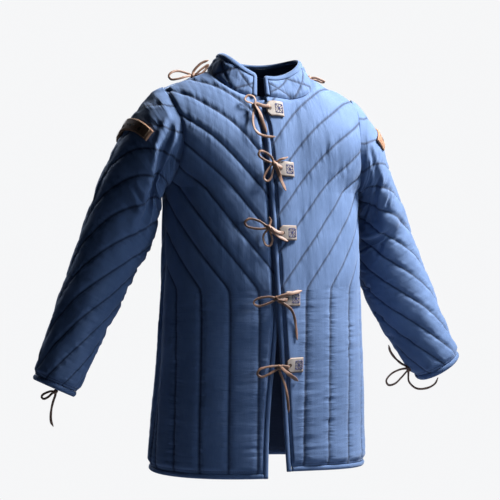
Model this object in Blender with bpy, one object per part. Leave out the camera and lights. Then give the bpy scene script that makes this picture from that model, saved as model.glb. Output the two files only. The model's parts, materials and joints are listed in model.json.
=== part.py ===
"""Gambeson: a padded, quilted jacket in the hollow shape that it has when it is worn.

Metres, +Z up. The front faces -Y and +X is the wearer's left. The origin lies between the
shoulders, level with the sides of the collar's base, where the wearer carries the coat.

Each panel is worked out in its own pattern: "across" is the distance round the body from the
centre line and "height" the distance along the cloth, 0 at the shoulder seam and falling
towards the hem. A table of rows carries the pattern onto the worn form. A wall is plain inside,
and its outer points are raised between the lines of quilting.
"""
import math
from collections import namedtuple

import bmesh
import bpy
from mathutils import Vector
from mathutils.geometry import delaunay_2d_cdt

# ------------------------------------------------------------------ driving sizes
WALL = 0.004               # cloth, padding and lining pressed flat at a line of stitching
PUFF = 0.0065              # a padded channel stands this far above its stitching
SEAM_GAP = 0.0003          # between two pieces sewn together
SEAM_FLAT = 0.008          # strip beside a seam that stays flat
PUFF_RAMP = 0.010          # distance over which the padding fills out beyond that strip
TRIM = 0.010               # width of the binding on every raw edge
TRIM_CROWN = 0.0016        # the binding stands this far above the wall it closes
BOUNDARY_STEP = 0.024      # spacing of points along a curved edge
LONG_STEP = 0.048          # and along an edge that is nearly straight

CHANNEL = 0.060            # width of an upright padded channel
RISE = 1.25                # rise of the slanted channels for each metre outwards
PITCH = CHANNEL * RISE     # height of one slanted channel at the front edge
PER_CHANNEL = 3            # lattice points across one channel
WAIST = -0.530             # pattern height where the slanted channels turn upright
HEM = -0.922               # pattern height of the finished hem
HEM_RISE = 0.013           # the left front's hem is this much higher at the opening
ARMPIT = -0.325            # pattern height of the bottom of the armhole
SKIRT_ROW = 0.064          # spacing of the lattice below the waist
INNER_STEP = 0.045         # spacing of the lattice on the plain inside

FRONT_NECK = -0.130        # pattern height of the neckline at the centre front
FLAP_TOP = -0.139          # and of the left front's lap, past the centre
BACK_NECK = -0.088         # and at the centre back
SIDE_NECK = 0.1146         # distance along the shoulder seam's line to the neckline
PHASE_RIGHT = 0.0525       # first upright quilt line from the centre, wearer's right front
PHASE_LEFT = 0.0475        # and wearer's left front
LAP_LIFT = 0.0072          # the left front lies this far off the right one
LAP_RAMP = 0.045           # distance over which it comes back down to the body
SHOULDER_DROP = 0.060      # the wearer's left shoulder hangs lower: fall per metre of X
DROP_FULL = -0.15          # height above which the whole drop holds
DROP_NONE = -0.45          # and below which there is none
SWAY = 0.009               # the hem swings this far to the wearer's right

COLLAR_TOP_FRONT = -0.004   # height of the collar's top edge at the front,
COLLAR_TOP_SIDE = 0.040     # at the sides
COLLAR_TOP_BACK = 0.024     # and at the back
COLLAR_LEAN_X = 0.77       # the top edge's size against the base, side to side
COLLAR_LEAN_Y = 0.76       # and front to back
COLLAR_LEFT_START = -0.0165   # where the collar's two ends stand, across from the centre
COLLAR_RIGHT_START = -0.0325
COLLAR_SEAT = 0.0045       # width of the collar's foot on the panels
COLLAR_ROWS = 4
COLLAR_PUFF = 0.003

SLEEVE_COLUMNS = 24        # points round a sleeve, three to a channel
SLEEVE_ROWS = 24
SLEEVE_SEAT = 0.0045       # width of the sleeve head's foot on the panels
SLEEVE_ALLOWANCE = 0.008   # from a sleeve's outline in to the inside of its wall
HEAD_FADE = 0.30           # share of the sleeve over which it leaves the armhole's shape

LACE = 0.0038              # leather laces, across
LACE_STEP = 0.011          # spacing of the points along a lace
TAB_THICK = 0.0028
TAB_LENGTH = 0.038
TAB_WIDTH = 0.031
PATCH_THICK = 0.0025

BodyRow = namedtuple("BodyRow", "height mid_y mid_z side_x side_y side_z reach fall "
                                "end_x end_y end_z")
# Each row runs from the centre line to the side seam or armhole. Reach and fall are how far its
# first handle runs out and down, and end_x, end_y, end_z its last handle.
FRONT = (
    BodyRow(-0.930, -0.178, -0.850, 0.2315, -0.010, -0.850, 0.138, 0.000, 0.000, 0.095, 0.000),
    BodyRow(-0.700, -0.168, -0.620, 0.2180, -0.010, -0.620, 0.130, 0.000, 0.000, 0.090, 0.000),
    BodyRow(-0.530, -0.160, -0.450, 0.2100, -0.010, -0.450, 0.125, 0.000, 0.000, 0.085, 0.000),
    BodyRow(-0.430, -0.150, -0.350, 0.2080, -0.010, -0.350, 0.125, 0.000, 0.000, 0.080, 0.000),
    BodyRow(-0.325, -0.136, -0.245, 0.2100, -0.010, -0.245, 0.125, 0.000, 0.010, 0.072, 0.000),
    BodyRow(-0.265, -0.124, -0.185, 0.2030, -0.062, -0.212, 0.110, 0.000, 0.035, 0.055, -0.004),
    BodyRow(-0.200, -0.108, -0.120, 0.1970, -0.085, -0.162, 0.095, 0.000, 0.050, 0.045, -0.010),
    BodyRow(-0.130, -0.078, -0.050, 0.2000, -0.078, -0.118, 0.080, -0.008, 0.052, 0.030, -0.015),
    BodyRow(-0.065, -0.042, 0.008, 0.2090, -0.045, -0.078, 0.074, -0.022, 0.064, 0.016, -0.026),
    BodyRow(0.000, 0.010, 0.046, 0.2150, 0.010, -0.048, 0.070, -0.031, 0.070, 0.000, -0.031),
)
BACK = (
    BodyRow(-0.930, 0.150, -0.850, 0.2315, -0.010, -0.850, 0.138, 0.000, 0.000, -0.090, 0.000),
    BodyRow(-0.700, 0.136, -0.620, 0.2180, -0.010, -0.620, 0.130, 0.000, 0.000, -0.085, 0.000),
    BodyRow(-0.530, 0.126, -0.450, 0.2100, -0.010, -0.450, 0.125, 0.000, 0.000, -0.080, 0.000),
    BodyRow(-0.430, 0.130, -0.350, 0.2080, -0.010, -0.350, 0.125, 0.000, 0.000, -0.080, 0.000),
    BodyRow(-0.325, 0.134, -0.245, 0.2100, -0.010, -0.245, 0.125, 0.000, 0.010, -0.078, 0.000),
    BodyRow(-0.265, 0.132, -0.178, 0.2030, 0.055, -0.215, 0.115, 0.000, 0.035, -0.055, -0.004),
    BodyRow(-0.200, 0.124, -0.110, 0.1960, 0.090, -0.165, 0.100, -0.004, 0.050, -0.035, -0.010),
    BodyRow(-0.130, 0.106, -0.040, 0.1980, 0.088, -0.115, 0.085, -0.014, 0.055, -0.025, -0.018),
    BodyRow(-0.065, 0.070, 0.022, 0.2080, 0.056, -0.074, 0.074, -0.026, 0.066, -0.014, -0.028),
    BodyRow(0.000, 0.010, 0.046, 0.2150, 0.010, -0.048, 0.070, -0.031, 0.070, 0.000, -0.031),
)

EdgeRow = namedtuple("EdgeRow", "height left right")
# Where each front ends, as a distance across from the centre towards the wearer's left.
FRONT_EDGES = (
    EdgeRow(-0.930, 0.011, -0.031),
    EdgeRow(-0.780, -0.001, -0.027),
    EdgeRow(-0.650, -0.012, -0.017),
    EdgeRow(-0.530, -0.020, -0.010),
    EdgeRow(-0.380, -0.024, -0.008),
    EdgeRow(-0.205, -0.029, -0.008),
    EdgeRow(-0.160, -0.038, -0.008),
    EdgeRow(-0.130, -0.048, -0.008),
)

SleeveRow = namedtuple("SleeveRow", "along outer_x outer_z inner_x inner_z middle_y depth")
# A sleeve's outline: its outer and inner lines, and half its depth front to back.
SLEEVE = {
    "right": (
        SleeveRow(0.00, 0.215, -0.048, 0.210, -0.245, 0.000, 0.088),
        SleeveRow(0.12, 0.263, -0.096, 0.228, -0.258, 0.010, 0.092),
        SleeveRow(0.26, 0.303, -0.160, 0.231, -0.300, 0.020, 0.090),
        SleeveRow(0.42, 0.346, -0.255, 0.236, -0.362, 0.034, 0.082),
        SleeveRow(0.58, 0.387, -0.362, 0.272, -0.428, 0.040, 0.074),
        SleeveRow(0.74, 0.425, -0.462, 0.315, -0.512, 0.040, 0.066),
        SleeveRow(0.88, 0.462, -0.560, 0.362, -0.600, 0.036, 0.058),
        SleeveRow(1.00, 0.492, -0.640, 0.402, -0.682, 0.030, 0.052),
    ),
    "left": (
        SleeveRow(0.00, 0.215, -0.048, 0.210, -0.245, 0.000, 0.088),
        SleeveRow(0.12, 0.254, -0.097, 0.225, -0.258, 0.010, 0.092),
        SleeveRow(0.26, 0.285, -0.168, 0.231, -0.300, 0.020, 0.090),
        SleeveRow(0.42, 0.331, -0.262, 0.236, -0.362, 0.034, 0.082),
        SleeveRow(0.58, 0.370, -0.362, 0.245, -0.432, 0.040, 0.074),
        SleeveRow(0.74, 0.408, -0.460, 0.279, -0.516, 0.036, 0.066),
        SleeveRow(0.88, 0.442, -0.548, 0.327, -0.594, 0.030, 0.058),
        SleeveRow(1.00, 0.474, -0.615, 0.380, -0.674, 0.022, 0.052),
    ),
}

FoldRow = namedtuple("FoldRow", "side along length angle width height slant")
# The largest folds of the sleeves: where along, how long, at what angle round from the outer
# line towards the front, how wide, how high, and how far the fold turns along its length.
SLEEVE_FOLDS = (
    FoldRow("right", 0.22, 0.20, 118.0, 20.0, -0.016, 0.0),
    FoldRow("right", 0.16, 0.14, 150.0, 22.0, 0.007, 0.0),
    FoldRow("left", 0.47, 0.040, 105.0, 50.0, -0.013, 0.0),
    FoldRow("left", 0.41, 0.045, 110.0, 45.0, 0.008, 0.0),
    FoldRow("left", 0.30, 0.12, 128.0, 20.0, -0.012, 0.0),
)

NAVY = (0.075, 0.125, 0.245, 1.0)
NAVY_DARK = (0.055, 0.095, 0.190, 1.0)
TAN = (0.50, 0.27, 0.13, 1.0)
NATURAL = (0.66, 0.53, 0.42, 1.0)
BROWN = (0.24, 0.115, 0.06, 1.0)


# ------------------------------------------------------------------ small helpers
def clamp(value, low=0.0, high=1.0):
    return max(low, min(high, value))


def ease(value):
    """A smooth step from 0 to 1."""
    t = clamp(value)
    return t * t * (3.0 - 2.0 * t)


def smooth_row(rows, key):
    """The row of a table at any key, on smooth curves through the rows that are given."""
    spot = 0
    while spot < len(rows) - 2 and key > rows[spot + 1][0]:
        spot += 1
    low, high = rows[spot], rows[spot + 1]
    before, after = rows[max(spot - 1, 0)], rows[min(spot + 2, len(rows) - 1)]
    span = high[0] - low[0]
    t = (key - low[0]) / span
    values = []
    for start, end, prior, later in zip(low, high, before, after):
        leave = (end - prior) / (high[0] - before[0]) * span
        reach = (later - start) / (after[0] - low[0]) * span
        values.append((2 * t ** 3 - 3 * t ** 2 + 1) * start + (t ** 3 - 2 * t ** 2 + t) * leave
                      + (3 * t ** 2 - 2 * t ** 3) * end + (t ** 3 - t ** 2) * reach)
    return type(low)(*values)


def smooth_path(points, step):
    """Points about a step apart on a smooth curve through the points given."""
    ghosts = [2 * points[0] - points[1]] + list(points) + [2 * points[-1] - points[-2]]
    fine = []
    for k in range(1, len(ghosts) - 2):
        p0, p1, p2, p3 = ghosts[k - 1:k + 3]
        for part in range(12):
            t = part / 12.0
            fine.append(0.5 * (2 * p1 + (p2 - p0) * t + (2 * p0 - 5 * p1 + 4 * p2 - p3) * t * t
                               + (3 * p1 - p0 - 3 * p2 + p3) * t ** 3))
    fine.append(points[-1])
    lengths = [0.0]
    for a, b in zip(fine, fine[1:]):
        lengths.append(lengths[-1] + (b - a).length)
    count = max(2, round(lengths[-1] / step))
    path, spot = [], 0
    for k in range(count + 1):
        goal = lengths[-1] * k / count
        while spot < len(fine) - 2 and lengths[spot + 1] < goal:
            spot += 1
        share = (goal - lengths[spot]) / max(lengths[spot + 1] - lengths[spot], 1e-9)
        path.append(fine[spot].lerp(fine[spot + 1], clamp(share)))
    return path


# ------------------------------------------------------------------ the worn form
NECK_STEPS = 7             # steps along a quarter of the neckline
ROW_STEPS = 32
_rows_seen = {}


def body_row(face, height):
    """One row round a quarter of the body, as points with their distances across."""
    key = (face is FRONT, round(height, 5))
    if key not in _rows_seen:
        below = [row for row in face if row.height <= ARMPIT]
        above = [row for row in face if row.height >= ARMPIT]
        row = smooth_row(below if height <= ARMPIT else above, height)
        start = Vector((0.0, row.mid_y, row.mid_z))
        end = Vector((row.side_x, row.side_y, row.side_z))
        first = start + Vector((row.reach, 0.0, row.fall))
        last = end - Vector((row.end_x, row.end_y, row.end_z))
        points, lengths = [], []
        for k in range(ROW_STEPS + 1):
            t = k / ROW_STEPS
            s = 1.0 - t
            points.append(start * s ** 3 + first * 3 * s * s * t + last * 3 * s * t * t + end * t ** 3)
            lengths.append(lengths[-1] + (points[-1] - points[-2]).length if k else 0.0)
        _rows_seen[key] = (points, lengths)
    return _rows_seen[key]


def row_length(face, height):
    return body_row(face, height)[1][-1]


def worn(face, across, height):
    """The inside of the cloth at a place of the pattern; across is positive to the left."""
    points, lengths = body_row(face, height)
    goal = abs(across)
    spot = 0
    while spot < ROW_STEPS - 1 and lengths[spot + 1] < goal:
        spot += 1
    share = (goal - lengths[spot]) / (lengths[spot + 1] - lengths[spot])
    point = points[spot] + (points[spot + 1] - points[spot]) * share
    return Vector((math.copysign(point.x, across), point.y, point.z))


def outward(face, across, height):
    """The direction out of the body at a place of the pattern."""
    d = 0.003
    if 0.0 <= across < d:
        across = d
    if -d < across < 0.0:
        across = -d
    along = worn(face, across + d * 0.9, height) - worn(face, across - d * 0.9, height)
    up = worn(face, across, min(height + d, 0.0)) - worn(face, across, max(height - d, HEM))
    normal = along.cross(up).normalized()
    return normal if face is FRONT else -normal


def dropped(point):
    """A point of the coat with the wearer's left shoulder lower and the hem swung to the right."""
    share = ease((point.z - DROP_NONE) / (DROP_FULL - DROP_NONE))
    swing = SWAY * ease((DROP_NONE - point.z) / 0.40) if abs(point.x) < 0.26 else 0.0
    return Vector((point.x - swing, point.y, point.z - SHOULDER_DROP * point.x * share))


def lap_lift(face, across, height):
    """How far the left front lies off the body where it covers the right one."""
    if face is not FRONT:
        return 0.0
    edge = smooth_row(FRONT_EDGES, min(height, FRONT_NECK)).right
    return LAP_LIFT * (1.0 - ease((across - edge - 0.010) / LAP_RAMP))


def cloth_at(face, across, height, out, laps=False):
    """A point of the coat at a distance out from the inside of the cloth."""
    lift = lap_lift(face, across, height) if laps else 0.0
    return dropped(worn(face, across, height) + outward(face, across, height) * (out + lift))


# ------------------------------------------------------------------ quilting
def quilt_phase(across, height, first_line, sides):
    """Counts channels across the quilting: a whole number lies on a line of stitching."""
    spread = abs(across) if len(sides) > 1 else across * sides[0]
    return (spread - first_line) / CHANNEL - max(height - WAIST, 0.0) / PITCH


def channel_form(phase):
    """Share of the full padding at a place in a channel, 0 on its stitching."""
    return min(1.0, 1.155 * math.sin(math.pi * (phase - math.floor(phase))))


def distance_to_outline(outline, x, y):
    best = 1e9
    for (ax, ay), (bx, by) in zip(outline, outline[1:] + outline[:1]):
        dx, dy = bx - ax, by - ay
        t = clamp(((x - ax) * dx + (y - ay) * dy) / max(dx * dx + dy * dy, 1e-12))
        best = min(best, math.hypot(x - ax - t * dx, y - ay - t * dy))
    return best


def inside_outline(outline, x, y):
    inside = False
    for (ax, ay), (bx, by) in zip(outline, outline[1:] + outline[:1]):
        if (ay > y) != (by > y) and x < ax + (y - ay) * (bx - ax) / (by - ay):
            inside = not inside
    return inside


def inset_outline(outline, depth):
    """The outline moved in by a depth; the outline runs anticlockwise."""
    moved = []
    for k, (x, y) in enumerate(outline):
        before = Vector(outline[k]) - Vector(outline[k - 1])
        after = Vector(outline[(k + 1) % len(outline)]) - Vector(outline[k])
        before.normalize()
        after.normalize()
        n1, n2 = Vector((-before.y, before.x)), Vector((-after.y, after.x))
        bisector = (n1 + n2).normalized()
        reach = depth / max(bisector.dot(n1), 0.45)
        moved.append((x + bisector.x * reach, y + bisector.y * reach))
    return moved


# ------------------------------------------------------------------ making objects
coat = bpy.data.collections.new("gambeson")


def start_scene():
    for thing in list(bpy.data.objects):
        bpy.data.objects.remove(thing, do_unlink=True)
    bpy.context.scene.collection.children.link(coat)


def make_material(name, colour, roughness):
    material = bpy.data.materials.new(name)
    material.use_nodes = True
    shader = material.node_tree.nodes["Principled BSDF"]
    shader.inputs["Base Color"].default_value = colour
    shader.inputs["Roughness"].default_value = roughness
    shader.inputs["Metallic"].default_value = 0.0
    return material


def make_object(name, points, faces, material):
    """A closed solid from its points and faces, with its faces turned outwards."""
    shape = bmesh.new()
    verts = [shape.verts.new(p) for p in points]
    for face in faces:
        shape.faces.new([verts[k] for k in face])
    bmesh.ops.recalc_face_normals(shape, faces=shape.faces)
    bmesh.ops.triangulate(shape, faces=[f for f in shape.faces if len(f.verts) > 3])
    mesh = bpy.data.meshes.new(name)
    shape.to_mesh(mesh)
    shape.free()
    mesh.shade_smooth()
    mesh.set_sharp_from_angle(angle=math.radians(50.0))
    mesh.materials.append(material)
    thing = bpy.data.objects.new(name, mesh)
    coat.objects.link(thing)
    return thing


def triangulate_pattern(outline, band, lattice, links):
    """Triangles inside an outline, with an inner band, lattice points and links kept as edges."""
    coords = list(outline) + list(band) + list(lattice)
    edges = [(k, (k + 1) % len(outline)) for k in range(len(outline))]
    base = len(outline)
    edges += [(base + k, base + (k + 1) % len(band)) for k in range(len(band))]
    base += len(band)
    edges += [(base + a, base + b) for a, b in links]
    spots, _, faces, origins, _, _ = delaunay_2d_cdt([Vector(c) for c in coords], edges, [], 1, 1e-6)
    return [tuple(s) for s in spots], faces, origins


def make_panel(name, face, outline, first_line, sides, laps, material):
    """A quilted panel: plain inside, with the padding raised in its outer points.

    The quilting slants up and out on each of the panel's sides, 1 the wearer's left, -1 right.
    """
    band = inset_outline(outline, SEAM_FLAT)
    step = CHANNEL / PER_CHANNEL
    rows = [WAIST + step * RISE * k for k in range(40)]
    rows += [WAIST - SKIRT_ROW * k for k in range(1, 12)]
    lattice, spot_of = [], {}
    for side in sides:
        for i in range(-10, 30):
            across = side * (first_line + step * i)
            if len(sides) > 1 and (i < 0 or (side < 0 and i == 0)):
                continue
            for j, height in enumerate(rows):
                if inside_outline(band, across, height) and \
                        distance_to_outline(band, across, height) > 0.0055:
                    spot_of[side, i, j] = len(lattice)
                    lattice.append((across, height))
    links = []
    for (side, i, j), spot in spot_of.items():
        if j < 40:
            other = spot_of.get((side, i + 1, j + 1 if j < 39 else -1))
            if i == 0 and len(sides) > 1:
                left = spot_of.get((-1, 1, j + 1))
                if left is not None:
                    links.append((spot, left))
        else:
            other = spot_of.get((side, i, j + 1))
        if other is not None:
            links.append((spot, other))
        if j == 40 and (side, i, 0) in spot_of:
            links.append((spot, spot_of[side, i, 0]))

    points, faces = [], []
    outer_spots, outer_faces, outer_from = triangulate_pattern(outline, band, lattice, links)
    rim_outer = {}
    for k, (x, y) in enumerate(outer_spots):
        out = WALL
        if not any(source < len(outline) + len(band) for source in outer_from[k]):
            fill = ease((distance_to_outline(outline, x, y) - SEAM_FLAT) / PUFF_RAMP)
            if face is FRONT and not laps:
                fill *= ease((smooth_row(FRONT_EDGES, min(y, FRONT_NECK)).left - x - 0.010) / 0.015)
            out += PUFF * fill * channel_form(quilt_phase(x, y, first_line, sides) + 1e-6)
        for source in outer_from[k]:
            if source < len(outline):
                rim_outer[source] = k
        points.append(cloth_at(face, x, y, out, laps))
    faces += [tuple(f) for f in outer_faces]

    inner_lattice = []
    for i in range(-12, 13):
        for j in range(0, 24):
            x, y = i * INNER_STEP, HEM + 0.030 + j * INNER_STEP
            if inside_outline(outline, x, y) and distance_to_outline(outline, x, y) > 0.018:
                inner_lattice.append((x, y))
    inner_spots, inner_faces, inner_from = triangulate_pattern(outline, [], inner_lattice, [])
    base, rim_inner = len(points), {}
    for k, (x, y) in enumerate(inner_spots):
        for source in inner_from[k]:
            if source < len(outline):
                rim_inner[source] = base + k
        points.append(cloth_at(face, x, y, 0.0, laps))
    faces += [tuple(base + v for v in f) for f in inner_faces]
    for k in range(len(outline)):
        after = (k + 1) % len(outline)
        faces.append((rim_outer[k], rim_outer[after], rim_inner[after]))
        faces.append((rim_outer[k], rim_inner[after], rim_inner[k]))
    return make_object(name, points, faces, material)


# ------------------------------------------------------------------ outlines of the panels
def steps_between(low, high, step):
    count = max(1, round(abs(high - low) / step))
    return [low + (high - low) * k / count for k in range(count + 1)]


def armhole_places(face, sign):
    """Pattern places up the armhole, from the armpit to the shoulder."""
    return [(sign * (row_length(face, h) - SEAM_GAP), h)
            for h in steps_between(ARMPIT, -SEAM_GAP, -ARMPIT / (SLEEVE_COLUMNS / 2))]


def neck_place(neck_height, angle):
    return SIDE_NECK * math.sin(angle), min(neck_height * math.cos(angle), -SEAM_GAP)


def neck_angles(side):
    """Angles along a front's neckline, from the collar's end to the shoulder."""
    start = COLLAR_LEFT_START if side == "left" else -COLLAR_RIGHT_START
    angles = [math.asin(start / SIDE_NECK), math.asin((start + TRIM) / SIDE_NECK)]
    turn = math.pi / 2 / NECK_STEPS
    return angles + [turn * k for k in range(NECK_STEPS + 1) if turn * k > angles[1] + turn / 6]


def edge_across(height, side):
    row = smooth_row(FRONT_EDGES, min(height, FRONT_NECK))
    return row.left if side == "left" else -row.right


def hem_height(side, across):
    """The finished hem of a front; the left one rises towards the opening."""
    if side != "left":
        return HEM
    return HEM + HEM_RISE * (1.0 - ease(across / row_length(FRONT, HEM)))


def front_outline(side):
    """A front's outline in its own pattern, across positive outwards, anticlockwise."""
    hem = HEM + TRIM + SEAM_GAP
    inset = TRIM + SEAM_GAP
    side_reach = row_length(FRONT, hem) - SEAM_GAP
    foot = edge_across(hem, side) + inset
    outline = [(x, hem_height(side, x) + inset) for x in steps_between(foot, side_reach, BOUNDARY_STEP)]
    outline += [(row_length(FRONT, h) - SEAM_GAP, h)
                for h in steps_between(hem, ARMPIT, LONG_STEP)[1:-1]]
    outline += armhole_places(FRONT, 1)
    shoulder = row_length(FRONT, 0.0)
    outline += [(x, -SEAM_GAP) for x in steps_between(shoulder, SIDE_NECK, BOUNDARY_STEP)[1:-1]]
    neckline = [neck_place(FRONT_NECK, angle) for angle in neck_angles(side)]
    outline += list(reversed(neckline))
    if side == "left":
        top = FLAP_TOP - inset
        outline += [(COLLAR_LEFT_START - 0.002, top), (edge_across(FRONT_NECK, side) + inset, top)]
    else:
        end = edge_across(FRONT_NECK, side) + inset
        outline.append(neck_place(FRONT_NECK, math.asin(end / SIDE_NECK)))
        top = outline[-1][1]
    low = outline[0][1]
    outline += [(edge_across(h, side) + inset, h) for h in steps_between(top, low, LONG_STEP / 2)[1:-1]]
    return outline


def back_outline():
    hem = HEM + TRIM + SEAM_GAP
    reach = row_length(BACK, hem) - SEAM_GAP
    right_side = [(row_length(BACK, h) - SEAM_GAP, h)
                  for h in steps_between(hem, ARMPIT, LONG_STEP)[1:-1]]
    shoulder = row_length(BACK, 0.0)
    half = right_side + armhole_places(BACK, 1)
    half += [(x, -SEAM_GAP) for x in steps_between(shoulder, SIDE_NECK, BOUNDARY_STEP)[1:-1]]
    turn = math.pi / 2 / NECK_STEPS
    half += [neck_place(BACK_NECK, turn * k) for k in range(NECK_STEPS, -1, -1)]
    outline = [(x, hem) for x in steps_between(-reach, reach, BOUNDARY_STEP)]
    outline += half
    outline += [(-x, y) for x, y in reversed(half[:-1])]
    return outline


# ------------------------------------------------------------------ bindings
def sweep_strip(name, inner_line, outer_line, laps_face, material, closed=False):
    """A crowned strip between two lines of (face, across, height, out offset) places."""
    points, faces = [], []
    for near, far in zip(inner_line, outer_line):
        middle = [(a + b) / 2 for a, b in zip(near[1:3], far[1:3])]
        ring = ((near[1:3], 0.0), (near[1:3], WALL + 0.0004), (middle, WALL + TRIM_CROWN),
                (far[1:3], WALL - 0.0006), (far[1:3], 0.0006))
        points += [cloth_at(near[0], place[0], place[1], out, laps_face) for place, out in ring]
    return close_sweep(name, points, 5, len(inner_line), material, closed)


def close_sweep(name, points, ring, count, material, closed):
    faces = []
    for k in range(count if closed else count - 1):
        after = (k + 1) % count
        for v in range(ring):
            w = (v + 1) % ring
            faces.append((k * ring + v, k * ring + w, after * ring + w, after * ring + v))
    if not closed:
        faces.append(tuple(range(ring)))
        faces.append(tuple((count - 1) * ring + v for v in range(ring)))
    return make_object(name, points, faces, material)


def make_front_binding(side, material):
    """The binding up a front's edge; the left one also runs along the top of its lap."""
    sign = 1 if side == "left" else -1
    near, far = [], []
    top = FLAP_TOP - TRIM if side == "left" else FRONT_NECK
    low = hem_height(side, edge_across(HEM, side))
    for h in steps_between(low, top, LONG_STEP / 2):
        edge = edge_across(h, side)
        near.append((FRONT, sign * (edge + TRIM), h))
        far.append((FRONT, sign * edge, h))
    if side == "left":
        corner = edge_across(FRONT_NECK, side)
        near[-1] = (FRONT, corner + TRIM, top)
        far[-1] = (FRONT, corner, FLAP_TOP - 0.002)
        near.append((FRONT, corner + TRIM + 0.001, top))
        far.append((FRONT, corner + 0.003, FLAP_TOP))
        near.append((FRONT, COLLAR_LEFT_START - 0.002, top))
        far.append((FRONT, COLLAR_LEFT_START - 0.002, FLAP_TOP))
    return sweep_strip("binding_front_" + side, near, far, side == "left", material)


def make_hem_binding(side, face, low, high, material):
    places = steps_between(low, high, BOUNDARY_STEP)
    share = row_length(face, HEM + TRIM) / row_length(face, HEM)
    near = [(face, x * share, hem_height(side, x) + TRIM) for x in places]
    far = [(face, x, hem_height(side, x)) for x in places]
    return sweep_strip("binding_hem_" + side, near, far, side == "left", material)


# ------------------------------------------------------------------ collar
def collar_places():
    """Pattern places along the neckline from the left front, round the back, to the right."""
    def at(face, angle):
        across, height = neck_place(FRONT_NECK if face is FRONT else BACK_NECK, abs(angle))
        return face, math.copysign(across, angle), height, angle

    turn = math.pi / 2 / NECK_STEPS
    places = [at(FRONT, angle) for angle in neck_angles("left")]
    places += [at(BACK, turn * k) for k in range(NECK_STEPS, -NECK_STEPS - 1, -1)]
    return places + [at(FRONT, -angle) for angle in reversed(neck_angles("right"))]


def collar_columns():
    """For each place: the inner and outer foot of the collar, and its inner top edge."""
    columns = []
    for face, across, height, turn in collar_places():
        laps = face is FRONT and across > (COLLAR_LEFT_START + COLLAR_RIGHT_START) / 2
        seat = WALL + 0.0006
        inner = cloth_at(face, across, height, seat, laps)
        spread_x, spread_y = COLLAR_SEAT * math.sin(turn), COLLAR_SEAT * math.cos(turn)
        foot_across, foot_height = across + spread_x, min(height - spread_y, -SEAM_GAP)
        outer = cloth_at(face, foot_across, foot_height, seat, laps)
        middle = COLLAR_TOP_FRONT if face is FRONT else COLLAR_TOP_BACK
        rise = middle + (COLLAR_TOP_SIDE - middle) * math.sin(turn) ** 2
        top = Vector((inner.x * COLLAR_LEAN_X, 0.010 + (inner.y - 0.010) * COLLAR_LEAN_Y,
                      rise - SHOULDER_DROP * inner.x))
        columns.append((inner, outer, top))
    return columns


def make_collar(cloth, trim):
    columns = collar_columns()
    walls = []
    for inner, outer, top in columns:
        away = Vector((inner.x, inner.y - 0.010, 0.0)).normalized()
        foot_wall = (outer - inner)
        edge = inner.lerp(top, 1.0 - (TRIM + SEAM_GAP) / (top - inner).length)
        walls.append((inner, foot_wall, edge, top, away))
    body = walls[1:-1]
    ring = 2 * (COLLAR_ROWS + 1)
    points = []
    for k, (inner, foot_wall, edge, _, away) in enumerate(body):
        outer_rows, inner_rows = [], []
        for row in range(COLLAR_ROWS + 1):
            v = row / COLLAR_ROWS
            base = inner.lerp(edge, v)
            fill = abs(math.sin(math.pi * (k / 4 + v)) * math.sin(math.pi * (k / 4 - v)))
            wall = away * (WALL + COLLAR_PUFF * fill * math.sin(math.pi * v))
            outer_rows.append(base + (foot_wall if row == 0 else wall))
            inner_rows.append(base)
        points += outer_rows + list(reversed(inner_rows))
    close_sweep("collar", points, ring, len(body), cloth, False)

    stations = []
    for end in (0, -1):
        near, far = walls[1 if end == 0 else -2], walls[end]
        run = []
        for v in (0.0, 0.5, 1.0):
            a, b = near[0].lerp(near[2], v), far[0].lerp(far[2], v)
            step = (b - a).normalized() * SEAM_GAP
            lift = Vector((0.0, 0.0, 0.0006)) if v == 0.0 else Vector((0.0, 0.0, 0.0))
            run.append((a + step + lift, b + lift, near[4]))
        stations.append(run)
    corner_left = (walls[1][2], walls[0][3].lerp(walls[1][3], 0.25), walls[1][4])
    corner_right = (walls[-2][2], walls[-1][3].lerp(walls[-2][3], 0.25), walls[-2][4])
    path = stations[0] + [lifted_off(corner_left)]
    for inner, _, edge, top, away in walls[1:-1]:
        path.append(lifted_off((edge, top, away)))
    path += [lifted_off(corner_right)] + list(reversed(stations[1]))
    points = []
    for near, far, away in path:
        points += [near, near + away * (WALL + 0.0006), near.lerp(far, 0.5) + away * (WALL + TRIM_CROWN),
                   far + away * (WALL - 0.0006), far + away * 0.0006]
    close_sweep("binding_collar", points, 5, len(path), trim, False)


def lifted_off(station):
    near, far, away = station
    return near + (far - near).normalized() * SEAM_GAP, far, away


# ------------------------------------------------------------------ sleeves
HALF = SLEEVE_COLUMNS // 2


def raw_at(face, across, height, out):
    return worn(face, across, height) + outward(face, across, height) * out


_armholes = {}


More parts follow.
